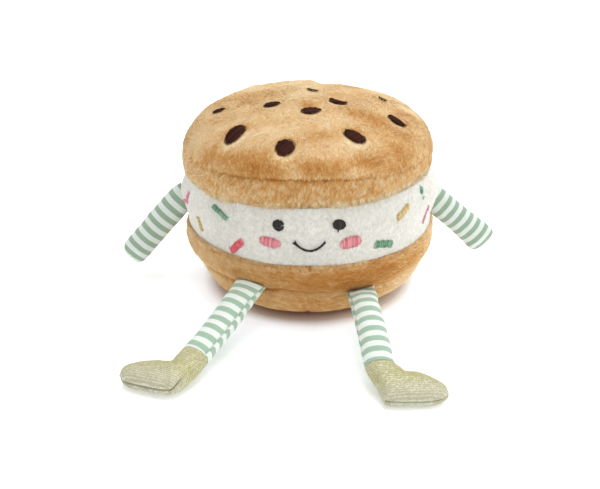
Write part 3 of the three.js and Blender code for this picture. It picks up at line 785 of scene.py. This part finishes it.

# ==== Upper cookie ================================================================================
# The same tan plush: a side panel that rolls out over the ice cream and a domed top panel, joined by
# a crease all round. The dome carries embroidered chips that dent it, soft folds pulled from the
# crease, and dark bands where the pile was pushed up.
# Painted into the nap: shade over the side panel and in the crease, shadow and light round the chips, and
# light over the back and far left of the dome.

UPPER_SEAM = (71.2, 75.15)
UPPER_ROLL = (2.6, 5.25)       # how far the side panel rolls out and up from its seam
TOP_BULGE = (73.8, 80.4)
TOP_CREASE_Z = 90.0
DOME_HEIGHT = 35.9
DOME_POWERS = (2.67, 2.03)
SIDE_PILE = 32000
CHIPS = (                      # place seen from above, long and short axis, turn
    (-39.4, -40.4, 13.8, 9.6, 45), (-12, -58.7, 10.6, 9, 25), (24.4, -50.4, 11.6, 7.8, 160),
    (1.6, -28.6, 10.8, 6, 14), (-20, -16.2, 9.8, 5.2, 22), (16.9, -14.6, 10.2, 5.6, 160),
    (49.3, -24.9, 10.2, 6.2, 155), (3, 9.9, 6.8, 2.8, 12), (44.2, 6.6, 5, 2.2, 4), (-51.6, -1.4, 7, 4.2, 14),
    (-44, 51, 9.6, 7, 20), (-23, 58, 10.2, 7.4, 120), (6, 60, 10.6, 7.6, 10), (33, 52, 9.6, 7, 60),
    (54, 36, 10.4, 7.4, 150),
)
FOLDS = (                      # two ends seen from above, rise, width
    (-60, -47, -43, -56, 1.3, 3.2), (-50, -56, -42, -60, 0.9, 3), (58, -14, 67, -27, 2, 2.8),
    (48, -40, 62, -33, 1.7, 3), (54, -21, 62, -30, -1.6, 2.4), (-32, 46, 2, 50, 2.6, 6),
    (-56, 18, -40, 40, 2.2, 9), (10, 54, 34, 48, -0.8, 6), (8, 22, 6, 8, -1.2, 5),
    (50, 18, 44, -4, -1.2, 5), (-30, -66, 20, -69, 0.5, 3),
)
BRUSHED_AND_PAINTED_LIGHT = (                    # patches of pile seen from above: middle, half sizes, turn, lighter or darker; the light ones at the back and far left are painted light
    (-28.9, -62.7, 13, 6, -20, -0.20), (33.5, -27.6, 15, 8, -20, -0.42), (0.6, -20.9, 7, 3.5, 0, -0.26),
    (-28.5, 1.7, 11, 8, 10, -0.24), (40.7, -55.0, 15, 7, 32, -0.28), (-51.0, -44.0, 6, 5, 0, -0.26),
    (7.6, -50.5, 13, 5, 10, -0.20), (-15.9, -45.3, 12, 8, 0, 0.04), (15.4, -36.2, 12, 6, 0, 0.14),
    (-41.8, -30.0, 9, 7, 0, 0.12), (2.0, 30.0, 30, 18, 0, 0.16), (52.0, 4.0, 9, 10, 0, 0.12),
    (54.9, -41.8, 10, 8, 30, -0.26), (0.9, 14.0, 26, 9, 0, 0.06), (0.0, 44.0, 44, 22, 0, 0.20),
    (-57.0, -30.0, 9, 12, -20, 0.16), (52.4, -12.0, 8, 8, 0, -0.16), (-60.0, -20.0, 7, 12, 0, 0.10),
    (24.0, 30.0, 14, 8, 30, -0.22), (-20.0, 40.0, 12, 8, -30, -0.22),
)


def dome_radius(z):
    """Full at the bulge and nothing at the top: a blunt ellipse of two powers."""
    up = np.clip((z - TOP_BULGE[1]) / DOME_HEIGHT, 0, 1)
    return TOP_BULGE[0] * (1 - up ** DOME_POWERS[0]) ** (1 / DOME_POWERS[1])


up = np.sin(np.linspace(0, math.pi / 2, 120)) * DOME_HEIGHT
upper_profile = [
    (0.0, UPPER_SEAM[1]), UPPER_SEAM,
    *zip(UPPER_SEAM[0] + UPPER_ROLL[0] * np.sin(quarter),
         UPPER_SEAM[1] + UPPER_ROLL[1] * (1 - np.cos(quarter))),
    *zip(dome_radius(TOP_BULGE[1] + up), TOP_BULGE[1] + up),
]


def crease_wave(place):
    """How far the crease strays up or down from its level: it dips towards the right."""
    dip = -4.2 * smooth((place[..., 0] - 16) / 30) * smooth(1 - place[..., 1] / 20)
    waves = 0.9 * cloud(place * (1, 1, 0), 17.0, 51) + 0.4 * cloud(place * (1, 1, 0), 5.0, 56)
    return dip + waves + 0.4 * cloud(place * (1, 1, 0), 2.4, 57)


def crease_strength(bearing):
    """Full at the front and fading out towards both sides, fainter round the back."""
    behind = (bearing + 360) % 360 - 180
    front = 0.62 * hump(bearing + 4, 26) + 0.34 * smooth((72 - np.abs(bearing - 4)) / 26)
    return 0.04 + front + 0.4 * smooth((70 - np.abs(behind)) / 40)


def from_crease(s, place):
    """Distance up the cloth from the crease."""
    return s - crease_s - crease_wave(place)


def upper_relief(s, bearing, place):
    """The crease with its puckers, folds and hollows as ridges along short lines, a dent round each chip,
    and broad lumps of stuffing."""
    x, y, z = np.moveaxis(place, -1, 0)
    away = from_crease(s, place)
    strong = crease_strength(bearing) * (0.75 + 0.35 * cloud(place * (1, 1, 0), 9.0, 55))
    crease = -1.5 * strong * np.exp(-np.abs(away / 0.8) ** 1.3) + 0.7 * strong * hump(away - 4.5, 3.2)
    puckers = 0.8 * cloud(place * (1, 1, 0.25), 6.0, 52) * np.exp(-np.abs(away) / 5.0)
    lumps = 0.8 * cloud(place, 24.0, 53) + 0.35 * cloud(place, 10.0, 54)
    shape = crease + puckers + lumps
    for x0, y0, x1, y1, rise, width in FOLDS:
        line = np.array([x1 - x0, y1 - y0])
        along = np.clip(((x - x0) * line[0] + (y - y0) * line[1]) / (line @ line), 0, 1)
        far = np.hypot(x - x0 - along * line[0], y - y0 - along * line[1])
        shape = shape + rise * hump(far, width)
    dome = smooth((s - crease_s) / 3)
    for cx, cy, long, short, turn in CHIPS:
        reach = np.hypot(x - cx, y - cy) / (0.25 * (long + short) + 1.6)
        shape = shape - 0.75 * dome * np.exp(-reach ** 3)
    tucked = 2.4 * hump(bearing - 80, 24) * hump(s - upper_rim_s - 4, 5)
    under = smooth((s - upper_rim_s) / 2.5)
    return (shape - tucked - PILE_ROOM) * under


def upper_nap(s, bearing, place):
    """Brushed clouds, dark bands just above the crease at the front, and patches, the light ones at the back
    and far left painted light; painted shade over the side panel, most at the front, and along the crease;
    and round each chip a painted shadow on the far side and painted light on the near side."""
    x, y, z = np.moveaxis(place, -1, 0)
    dome = smooth((s - crease_s) / 2)
    clouds = (0.17 * cloud(place, 19.0, 61) + 0.12 * cloud(place, 7.5, 62)) * (0.35 + 0.65 * dome)
    streaks = (0.28 - 0.10 * dome) * cloud(place * (1, 1, 0.6), 0.95, 63)
    front = crease_strength(bearing)
    band = -0.38 * hump(s - crease_s - 6.5, 5.5) * hump(bearing - 6, 44) * (0.7 + 0.8 * cloud(place, 9.0, 64))
    # The last term is painted shade over the side panel, deepest at the front.
    shade = 0.66 + clouds + streaks + band * dome - 0.32 * (1 - dome) * (0.55 + 0.6 * front)
    # Brushed patches; the light ones at the back and far left are painted light.
    for cx, cy, rx, ry, turn, change in BRUSHED_AND_PAINTED_LIGHT:
        shade = shade + change * dome * np.exp(-oval_reach(x - cx, y - cy, rx, ry, turn) ** 2.4)
    # Round each chip: a painted shadow on its far side and painted light on its near side.
    for cx, cy, long, short, turn in CHIPS:
        reach = np.hypot(x - cx, y - cy) / (0.25 * (long + short))
        shade = shade - 0.30 * dome * hump(reach - 1.2, 0.32) * np.clip((y - cy) / 5, -0.9, 1)
    # Painted shade along the crease, broken up along its length.
    broken = 0.75 + 0.45 * cloud(place * (1, 1, 0), 2.2, 58)
    return shade - 0.5 * hump(from_crease(s, place), 0.8) * front * broken


def upper_comb(s, bearing, place):
    """Aslant down the side panel; one way over the whole dome, towards the front and a little left."""
    one_way = -(bearing + 14) * smooth((s - crease_s) / 3)
    aslant = (40 * cloud(place, 2.6, 59) - 30) * smooth((crease_s - s) / 2)
    return one_way + aslant + 58 * cloud(place, 21.0, 65) + 28 * cloud(place, 7.0, 66)


upper_skin = TurnedSkin(upper_profile, upper_relief, settle)
upper_rim_s = 69.0             # where the side panel comes out of the seam
crease_s = float(upper_skin.at_height(TOP_CREASE_Z, 70))
rows = np.concatenate([np.linspace(1, 66, 6), np.arange(67.5, crease_s + 62, 0.75),
                       np.arange(crease_s + 63, upper_skin.length - 0.6, 1.5)])
stuffed("upper_cookie", upper_skin, rows, upper_nap, tan_ground, "cookie_top")


def clear_of_chips(s, bearing):
    """True where no chip covers the pile. It laps over the edges of large chips and stays off small ones."""
    x, y = upper_skin.bare(s, bearing)[:, :2].T
    free = np.ones(len(s), bool)
    for cx, cy, long, short, turn in CHIPS:
        edge = min(max(short / 4 - 1, -0.5), 0.5)
        free &= oval_reach(x - cx, y - cy, long / 2 - edge, short / 2 - edge, turn) > 1
    return free


def fringe_nap(s, bearing, place):
    """A little lighter than the side panel: painted light over the shadow under its lip."""
    return upper_nap(s, bearing, place) + 0.12


def fringe_comb(s, bearing, place):
    """Straight down, over the seam."""
    return 40 * cloud(place, 3.0, 68)


# The side panel's tans: the same plush cooled and darker, a shaded copy that paints shade into it.
shaded_side_tans = [(red * 0.9, green, blue * 1.15, 1) for red, green, blue, _ in TANS]
shaded_side_pile = plush("tan_side_pile", shaded_side_tans, shadow=0.72, tips=True)
side_spots = spread(SIDE_PILE, upper_skin, upper_rim_s + 1.0, crease_s)
locks("upper_cookie_side_pile", shaded_side_pile, upper_skin, side_spots, upper_comb, lift=21,
      size=(1.15, 0.5), nap=upper_nap, seed=67, keep=clear_of_chips, streak=(1.7, 0.45))
dome_spots = spread(FULL_PILE, upper_skin, crease_s, upper_skin.length - 0.5)
dome_lift = 17 - 10 * smooth((upper_skin.bare(*dome_spots)[:, 1] - 5) / 30)
locks("upper_cookie_dome_pile", tan_pile, upper_skin, dome_spots, upper_comb, dome_lift,
      size=(2.0, 0.7), nap=upper_nap, seed=67, keep=clear_of_chips, streak=(0.7, 0.8))
fringe_spots = spread(RIM_PILE, upper_skin, upper_rim_s + 1.6, upper_rim_s + 6.0)
hanging = 26 + 48 * smooth((upper_rim_s + 5.5 - fringe_spots[0]) / 3)
locks("upper_cookie_rim_pile", shaded_side_pile, upper_skin, fringe_spots, fringe_comb, hanging,
      size=(2.6, 0.6), nap=fringe_nap, seed=70)


def on_dome(x, y):
    """Places on the dome near a spot seen from above: u and v run along +X and +Y."""
    part = upper_skin.s > crease_s - 8

    def place(u, v, lift):
        radius = np.hypot(x + u, y + v)
        s = np.interp(-radius, -upper_skin.radius[part], upper_skin.s[part])
        return upper_skin.point(s, np.degrees(np.arctan2(x + u, -(y + v))), lift + PILE_ROOM * 0.6)
    return place


draw = np.random.default_rng(69)
chips = [
    threads(oval_rows(long, short, turn, run=35, pitch=0.42, ragged=0.3, draw=draw), on_dome(x, y), draw)
    for x, y, long, short, turn in CHIPS
]
chocolate_finish = thread_finish("chocolate_thread", linear(40, 15, 8), linear(74, 36, 26))
stitch("chocolate_chips", chips, chocolate_finish,
       [f"chip_{k + 1:02d}" for k in range(len(CHIPS))])

# ==== Arms ========================================================================================
# Tubes of sage and white striped cotton, stuffed, pinched flat where they are sewn into the drum and
# gathered into a short seam across the tip.

STRIPE_PITCH = 6.35            # a sage and a white stripe
SAGE = linear(158, 184, 163)
# The arms' sage is darker than the legs': painted shade, as the arms hang in shadow.
SHADED_ARM_SAGE = linear(152, 175, 153)
COTTON_WHITE = linear(228, 236, 229)
ARM = {"thick": 11.0, "pinch": 2.6, "tip_pinch": 3.2, "arch": 1.6}
ARMS = (                       # root, tip, widths at root, middle and tip, length, share and slant of the
    # tip's rounding, where the first sage stripe starts, how far the cloth is drawn out at the root and the
    # stripes' tilt, and the seam's angle
    ("arm_left", (-71.2, 0, 58), (-112, -1, 11.8), (17.8, 16.8, 17.4), (8.5, 0.35, -0.5), (6.2, 3.4, 0), 60),
    ("arm_right", (70.4, 0, 54.2), (110.8, 7, 18.2), (18.2, 16.4, 20.6), (6.5, 0.5, 0), (0.4, 0, -0.85), 120),
)
LIMB_GAP = 0.3                 # kept free between a limb and the body


def curve(start, bend, end, t):
    """Places and unit directions on a quadratic curve: the start, bend and end weighted by (1-t) squared,
    2t(1-t) and t squared."""
    start, bend, end = (np.array(p, float) for p in (start, bend, end))
    t = t[..., None]
    places = (1 - t) ** 2 * start + 2 * t * (1 - t) * bend + t * t * end
    return places, unit((1 - t) * (bend - start) + t * (end - bend))


def signed_power(value, exponent):
    """A power that keeps the value's sign."""
    return np.sign(value) * np.abs(value) ** exponent


def tube(places, along, across, angle, width, depth):
    """Sections of a stuffed tube: half the width times the cosine of the angle plus half the thickness times
    its sine, each to the power 0.92, which squares the section a little."""
    wide = unit(across - along * np.sum(across * along, -1, keepdims=True))
    thick = np.cross(along, wide)
    out_wide = (width / 2 * signed_power(np.cos(angle), 0.92))[..., None] * wide
    out_thick = (depth / 2 * signed_power(np.sin(angle), 0.92))[..., None] * thick
    return places + out_wide + out_thick


def swell(t, flat, full):
    """From flat at 0 to full at 1 and beyond, as a quarter of a sine wave."""
    return flat + (full - flat) * np.sin(np.clip(t, 0, 1) * math.pi / 2)


def limb_grid(rings_at, skin, steps):
    """Places on a limb: how far along they are, the angle round it, and where each line along it starts. A
    line starts outside the last point at which it is in the body's skin, or at the root; the steps divide
    what is left of it."""
    angle = np.radians(np.linspace(0, 360, 96, endpoint=False))
    t = np.linspace(0, 0.6, 240)
    x, y, z = np.moveaxis(rings_at(*np.meshgrid(t, angle, indexing="ij")), -1, 0)
    side = skin.at_height(np.clip(z, 3, 110), BASE_RADIUS + 2, skin.length - 60)
    wall = skin.point(side, np.degrees(np.arctan2(x, -y)), LIMB_GAP)
    inside = np.hypot(x, y) < np.hypot(wall[..., 0], wall[..., 1])
    inside[0] = True
    last = len(t) - 1 - np.argmax(inside[::-1], axis=0)
    first = t[np.minimum(last + 1, len(t) - 1)]
    grid = first + (1 - first) * steps[:, None]
    return grid, np.broadcast_to(angle, grid.shape), first


def relieved(rings, relief):
    """The rings pushed out along their own surface's normals."""
    along = np.gradient(rings, axis=0)
    round_it = np.roll(rings, -1, axis=1) - np.roll(rings, 1, axis=1)
    return rings + unit(np.cross(round_it, along)) * relief[..., None]


def times(colour, share):
    """A colour made darker or lighter by a share."""
    return tuple(v * share for v in colour[:3]) + (1,)


def from_limb_seam(turn, seam_angle):
    """Degrees round a limb from its seam, from -180 to 180, and the share of the way round, from 0 to 1."""
    degrees = np.degrees(turn) - seam_angle
    return (degrees + 180) % 360 - 180, degrees % 360 / 360


def striped_cotton(name, colour, pitch, phase, skew, lit):
    """Woven stripes: sage where a saw of the distance along the limb is in its first half. The cloth's
    edges meet at the seam, out of step by the skew, so the stripes climb a little on their way round."""
    finish = Finish(name, Roughness=0.9, Sheen_Weight=0.2, Sheen_Roughness=0.5)
    along, turn = finish.attribute("along"), finish.attribute("turn")
    wobble = (finish.noise(160.0) - 0.5) * 0.35
    count = (along + wobble - phase) * (1 / pitch) + turn * skew
    saw = count.math("FRACT", count)
    near = saw.math("PINGPONG", saw + 0.25, 0.5)
    share = finish.ramp(near * 2.0, [(0.46, (0, 0, 0, 1)), (0.54, (1, 1, 1, 1))])
    weave = finish.noise(2400.0)
    sage = finish.mix(weave, times(colour, 0.86), times(colour, 1.12))
    white = finish.mix(weave, times(COTTON_WHITE, 0.93), COTTON_WHITE)
    cloth = finish.mix(share, white, sage)
    faded = finish.mix(finish.noise(70.0) * 0.25, cloth, (0.93, 0.95, 0.9, 1), "MULTIPLY")
    # A lit share below 1 darkens the whole cloth: painted shade.
    finish.drive(Base_Color=finish.mix(1.0, faded, (lit, lit, lit, 1), "MULTIPLY"))
    finish.bump(finish.noise(1900.0, 3.0), 0.00025)
    return finish


def limb(name, rings, along, round_it, **stripes):
    """A piece of striped cotton, painted with how far along and round it each point is."""
    cotton = striped_cotton(f"{name}_cotton", **stripes)
    mesh = closed_mesh(f"striped_{name}", rings, along=along, turn=round_it)
    piece(f"striped_{name}", mesh, cotton, [name])


def arm_rings(start, end, widths, cap, t, turn):
    """Sections of an arm. The width follows a parabola through the three widths, narrows into the shoulder
    and rounds in over the cap; both ends are pinched flat."""
    cap_length, tip_share, slant = cap
    bend = (start + end) / 2 + np.array([0, 0, ARM["arch"]])
    across = np.array([end[2] - start[2], 0, start[0] - end[0]])
    into = np.clip((1 - t) * np.linalg.norm(end - start) / cap_length, 0, 1)
    full = (1 - t) * (1 - 2 * t) * widths[0] + 4 * t * (1 - t) * widths[1] + t * (2 * t - 1) * widths[2]
    width = full * (tip_share + (1 - tip_share) * np.sqrt(into * (2 - into)))
    width = width * (1 - 0.2 * smooth(1 - t / 0.16))
    depth = np.minimum(swell(t / 0.3, ARM["pinch"], ARM["thick"]),
                       swell((1 - t) / 0.16, ARM["tip_pinch"], ARM["thick"]))
    places, along = curve(start, bend, end, t)
    places = places + unit(across) * (slant * (full - width) / 2)[..., None]
    return tube(places, along, across, turn, width, depth)


def sew_arm(name, root, tip, widths, cap, stripes, seam_angle):
    """An arm with its seam, the gathers at both ends and small wrinkles."""
    start, end = np.array(root, float), np.array(tip, float)
    phase, pull, tilt = stripes
    t, turn, first = limb_grid(lambda t, turn: arm_rings(start, end, widths, cap, t, turn), drum_skin,
                               np.sin(np.linspace(0, math.pi / 2, 110)))
    rings = arm_rings(start, end, widths, cap, t, turn)
    from_seam, round_it = from_limb_seam(turn, seam_angle)
    seam = -0.7 * hump(from_seam, 7) * (1 + 0.5 * cloud(rings, 3.0, 71))
    gathers = 0.5 * cloud(rings * (0.5, 1, 0.5), 3.4, 72) * (hump(t - 1, 0.1) + 0.8 * hump(t - first, 0.05))
    wrinkles = 0.35 * cloud(rings, 7.0, 73) + 0.2 * cloud(rings, 3.5, 74)
    rings = relieved(rings, seam + gathers + wrinkles)
    along = t * float(np.linalg.norm(end - start)) + pull * (1 - t) ** 2 + tilt * np.cos(turn)
    # The arms take the darker sage and lit 0.9: painted shade.
    limb(name, rings, along, round_it, colour=SHADED_ARM_SAGE, pitch=STRIPE_PITCH, phase=phase, skew=0.35, lit=0.9)


for arm in ARMS:
    sew_arm(*arm)

# ==== Legs and feet ===============================================================================
# Legs of the same striped cotton, sewn flat into the lower cookie's seam and filling out towards the
# ankle; the tube's long seam shows on the inner side, where the stripes don't meet. The sock feet are
# champagne knit with a metal thread, ribbed along the sole, two panels sewn together round their edge.

LEG = {"thick": 14.4, "pinch": 3.6, "ankle_width": 15.0, "ankle_thick": 12.0, "straight": 26.0}
LEGS = (                       # root, ankle and lean, width and its flare at the root, where a sage stripe
    # starts from the ankle and the stretch, how much more the cloth is drawn out at the ankle than at the
    # root, the stripes' tilt and the seam's angle at both ends, and how far the stripes miss each other there
    ("leg_left", (-27.4, -53.4, 30.4), (-58.6, -110.4), 11,
     (15.9, 0.20), (2.6, 1.03), 0.1, (1.3, -0.1), (14, 26), 0.5),
    ("leg_right", (26.9, -57, 22.6), (33.5, -121.6), 20,
     (15.1, 0.10), (2.5, 1.155), -0.28, (-0.3, -1.2), (156, 186), -0.5),
)
FOOT = {"sole": 30.9, "toe": 10.3, "instep": 17.4, "thick": 12.0}
FEET = (                       # side that the toe points to, splay, heel down the leg and towards the toe,
    # how round the heel is from 0 to 1, how full the leg's back stays above it, the neck of the instep down
    # the leg and out from its front, the bridge forward of the leg's half width and as a share of the
    # instep, and how much the sole's seam climbs at the toe
    ("foot_left", -1, 9, (25.5, -4.5), 0.8, 0.98, (6.5, 0.0), (2.2, 0.99), -6),
    ("foot_right", 1, 3, (20.6, -1.0), 0.4, 0.58, (2.6, 2.0), (4.5, 0.94), 3),
)
KNIT_DARK = linear(138, 134, 100)
KNIT_LIGHT = linear(212, 209, 184)
KNIT_YELLOW = (0.86, 0.84, 0.46, 1.0)
KNIT_ROW = 1.1                 # one row of loops
KNIT_WALE = 1.4                # one column of loops


def spline(spots, t):
    """A smooth curve through the spots: between two spots a cubic whose end slopes are half the way from
    the spot before to the spot after."""
    spots = np.array(spots, float)
    whole = np.clip(t, 0, 1) * (len(spots) - 1)
    k = np.minimum(whole.astype(int), len(spots) - 2)
    u = (whole - k)[..., None]
    before, here, after, beyond = (spots[np.clip(k + step, 0, len(spots) - 1)] for step in (-1, 0, 1, 2))
    out, into = (after - before) / 2, (beyond - here) / 2
    return ((2 * here - 2 * after + out + into) * u ** 3 + (3 * after - 3 * here - 2 * out - into) * u ** 2
            + out * u + here)


def foot_rings(side, splay, heel, soft, back, neck, bridge, t, turn):
    """Sections of the foot in the leg's own directions: down the leg, towards the toe and up. Each joins
    the sole side's curve to the instep side's, as thick as a pad that tapers into the toe's seam."""
    lean = math.radians(splay)
    half = LEG["ankle_width"] / 2
    length, toe, rise = FOOT["sole"], FOOT["toe"], FOOT["instep"]

    def at(forward, up):
        """A place from the heel along the sole and up."""
        return (heel[0] + forward * math.sin(lean) - up * math.cos(lean),
                side * (heel[1] + forward * math.cos(lean) + up * math.sin(lean)))
    sole = spline([
        (LIMB_GAP, -half * side), (9, -half * back * side), at(-2.2 * soft, 4.5 * soft), at(4 * soft, 0),
        at(length * 0.52, -0.5), at(length * 0.84, 0.3), at(length * 0.97, toe * 0.24),
        at(length, toe * 0.42),
    ], t)
    instep = spline([
        (LIMB_GAP, half * side), (neck[0], (half + neck[1]) * side), at(half + bridge[0], rise * bridge[1]),
        at(length * 0.58, rise * 0.91), at(length * 0.74, rise * 0.78), at(length * 0.88, toe),
        at(length * 0.97, toe * 0.78), at(length, toe * 0.56),
    ], t)
    depth = np.minimum(LEG["ankle_thick"] + (FOOT["thick"] - LEG["ankle_thick"]) * smooth(2 * t),
                       swell((1.02 - t) / 0.4, 1.5, FOOT["thick"]))
    flat = (sole + instep) / 2 + (instep - sole) * (0.5 * side * signed_power(np.cos(turn), 0.85))[..., None]
    up = depth / 2 * signed_power(np.sin(turn), 0.85)
    return np.concatenate([flat, up[..., None]], -1)


def leg_axes(root, ankle, lean):
    """Directions down the leg at the ankle, across it and up from its face."""
    along = unit(np.array([ankle[0] - root[0], ankle[1] - root[1], 0.0]))
    across = np.array([-along[1], along[0], 0.0])
    slope = math.radians(lean)
    down = along * math.cos(slope) - np.array([0, 0, math.sin(slope)])
    return np.stack([down, across, np.cross(down, across)])


def glitter_knit():
    """Rows and columns of loops, flecks of metal thread that are metallic and painted lighter as glints, a
    yellower tint away from the sole, and painted shade in the sole's seam crease."""
    finish = Finish("glitter_knit")
    sockets = {"Vector": finish.place(), "Scale": 1800.0}
    cells = finish.node("ShaderNodeTexVoronoi", {"feature": "F1"}, sockets, out="Color")
    fleck = finish.node("ShaderNodeSeparateColor", None, {"Color": cells}, out=0)
    across = (finish.attribute("rib") + finish.noise(150.0)) * (2 * math.pi / KNIT_ROW)
    along = finish.attribute("wale") * (2 * math.pi / KNIT_WALE)
    row, wale = across.math("SINE", across), along.math("SINE", along)
    loops = row * 0.22 + row * wale * 0.06 + fleck * 0.6 + finish.noise(500.0, 3.0) * 0.7
    # Glints: flecks of metal thread, made metallic and smoother, and painted lighter as highlights.
    glint = finish.ramp(loops, [(0.75, (0, 0, 0, 1)), (1.35, (1, 1, 1, 1))])
    base = finish.mix(loops * 0.45 + 0.25, KNIT_DARK, KNIT_LIGHT)
    yellow = finish.attribute("upper") * (finish.noise(60.0) * 1.3)
    tinted = finish.mix(yellow, base, KNIT_YELLOW, "MULTIPLY")
    threadwork = finish.mix(glint * 0.4, tinted, (0.75, 0.73, 0.62, 1))
    # The seam attribute paints shade into the sole's seam crease.
    finish.drive(Base_Color=finish.mix(finish.attribute("seam"), threadwork, (0.13, 0.12, 0.07, 1)),
                 Metallic=glint * 0.3, Roughness=0.6 - glint * 0.15)
    finish.bump(loops, 0.0002)
    return finish


def sew_foot(name, ankle, axes, side, splay, heel, soft, back, neck, bridge, toe_climb):
    """A foot with the seams of its sole and instep. It lies on the floor; the height of the ankle over it is
    the result."""
    t, turn = np.meshgrid(np.linspace(0, 1, 170), np.radians(np.linspace(0, 360, 150, endpoint=False)),
                          indexing="ij")
    flat = foot_rings(side, splay, heel, soft, back, neck, bridge, t, turn)
    rings = flat @ axes + np.array([*ankle, 0.0])
    ankle_height = -rings[..., 2].min()
    rings[..., 2] += ankle_height
    tilt = math.radians(splay)
    down, out = flat[..., 0] - heel[0], flat[..., 1] * side - heel[1]
    forward = down * math.sin(tilt) + out * math.cos(tilt)
    rise = -down * math.cos(tilt) + out * math.sin(tilt)
    degrees = np.degrees(turn)
    from_sole = (360 - degrees if side > 0 else degrees + 180) % 360 - 180
    climb = 4 + toe_climb * smooth((t - 0.55) / 0.35) + 28 * smooth((0.42 - t) / 0.2)
    off_seam = from_sole - climb
    sole_seam = hump(off_seam, 3) * smooth((t - 0.4 + 0.25 * soft) / 0.1)
    instep_seam = hump(np.abs(from_sole) - 180, 8)
    lips = 0.6 * (hump(off_seam + 20, 12) + hump(off_seam - 20, 12)) * smooth((t - 0.3) / 0.15)
    inner = smooth(t / 0.08) * smooth((1 - t) / 0.05)
    ribs = 0.02 * np.sin(rise * 2 * math.pi / KNIT_ROW)
    relief = (-1.1 * sole_seam - 0.6 * instep_seam + lips) * inner + ribs * inner
    relief = relief + (0.4 * cloud(rings, 9.0, 81) + 0.12 * cloud(rings, 4.0, 82)) * inner
    rings = relieved(rings, relief)
    rings[..., 2] = np.maximum(rings[..., 2], 0.02)
    # seam: painted shade along the sole's seam crease.
    mesh = closed_mesh(f"knit_{name}", rings, rib=rise, wale=forward, seam=0.75 * sole_seam * inner,
                       upper=smooth((rise - 2) / 10))
    piece(f"knit_{name}", mesh, knit, [name])
    return ankle_height


def leg_rings(start, end, axes, width, t, turn):
    """Sections of a leg, pinched flat and flared at the root. Its curve ends in the ankle's own direction."""
    full, flare = width
    wide = full + (LEG["ankle_width"] - full) * smooth(t)
    wide = wide * (1 + flare * (1 - smooth((t - 0.1) / 0.2)))
    depth = swell((t - 0.1) / 0.28, LEG["pinch"], LEG["thick"] + (LEG["ankle_thick"] - LEG["thick"]) * t)
    return tube(*curve(start, end - axes[0] * LEG["straight"], end, t), axes[1], turn, wide, depth)


def sew_leg(name, start, end, axes, width, stripes, drawn, tilts, seam_angles, skew):
    """A leg with its long seam and small wrinkles. The stripes count from the ankle."""
    phase, stretch = stripes
    t, turn, _ = limb_grid(lambda t, turn: leg_rings(start, end, axes, width, t, turn), lower_skin,
                           np.linspace(0, 1, 120))
    rings = leg_rings(start, end, axes, width, t, turn)
    share = np.linspace(0, 1, 200)
    path = curve(start, end - axes[0] * LEG["straight"], end, share)[0]
    run = np.concatenate([[0], np.cumsum(np.linalg.norm(np.diff(path, axis=0), axis=1))])
    seam_angle = seam_angles[0] + (seam_angles[1] - seam_angles[0]) * smooth(t)
    from_seam, round_it = from_limb_seam(turn, seam_angle)
    seam = -0.9 * hump(from_seam, 6) * (1 + 0.6 * cloud(rings, 3.2, 75))
    seam = seam + 0.3 * hump(np.abs(from_seam) - 14, 8)
    wrinkles = 0.3 * cloud(rings, 7.0, 76) + 0.18 * cloud(rings, 3.5, 77)
    rings = relieved(rings, (seam + wrinkles) * smooth((1 - t) / 0.04))
    along = np.interp(t, share, run) - run[-1] + drawn * run[-1] * t * (1 - t) / 2
    along = along + (tilts[0] + (tilts[1] - tilts[0]) * t) * np.cos(turn)
    limb(name, rings, along, round_it, colour=SAGE, pitch=STRIPE_PITCH * stretch, phase=phase, skew=skew,
         lit=1.0)


knit = glitter_knit()
for (leg_name, root, ankle, lean, *leg_form), (foot_name, *foot_form) in zip(LEGS, FEET):
    axes = leg_axes(root, ankle, lean)
    ankle_height = sew_foot(foot_name, ankle, axes, *foot_form)
    sew_leg(leg_name, np.array(root, float), np.array([*ankle, ankle_height]), axes, *leg_form)
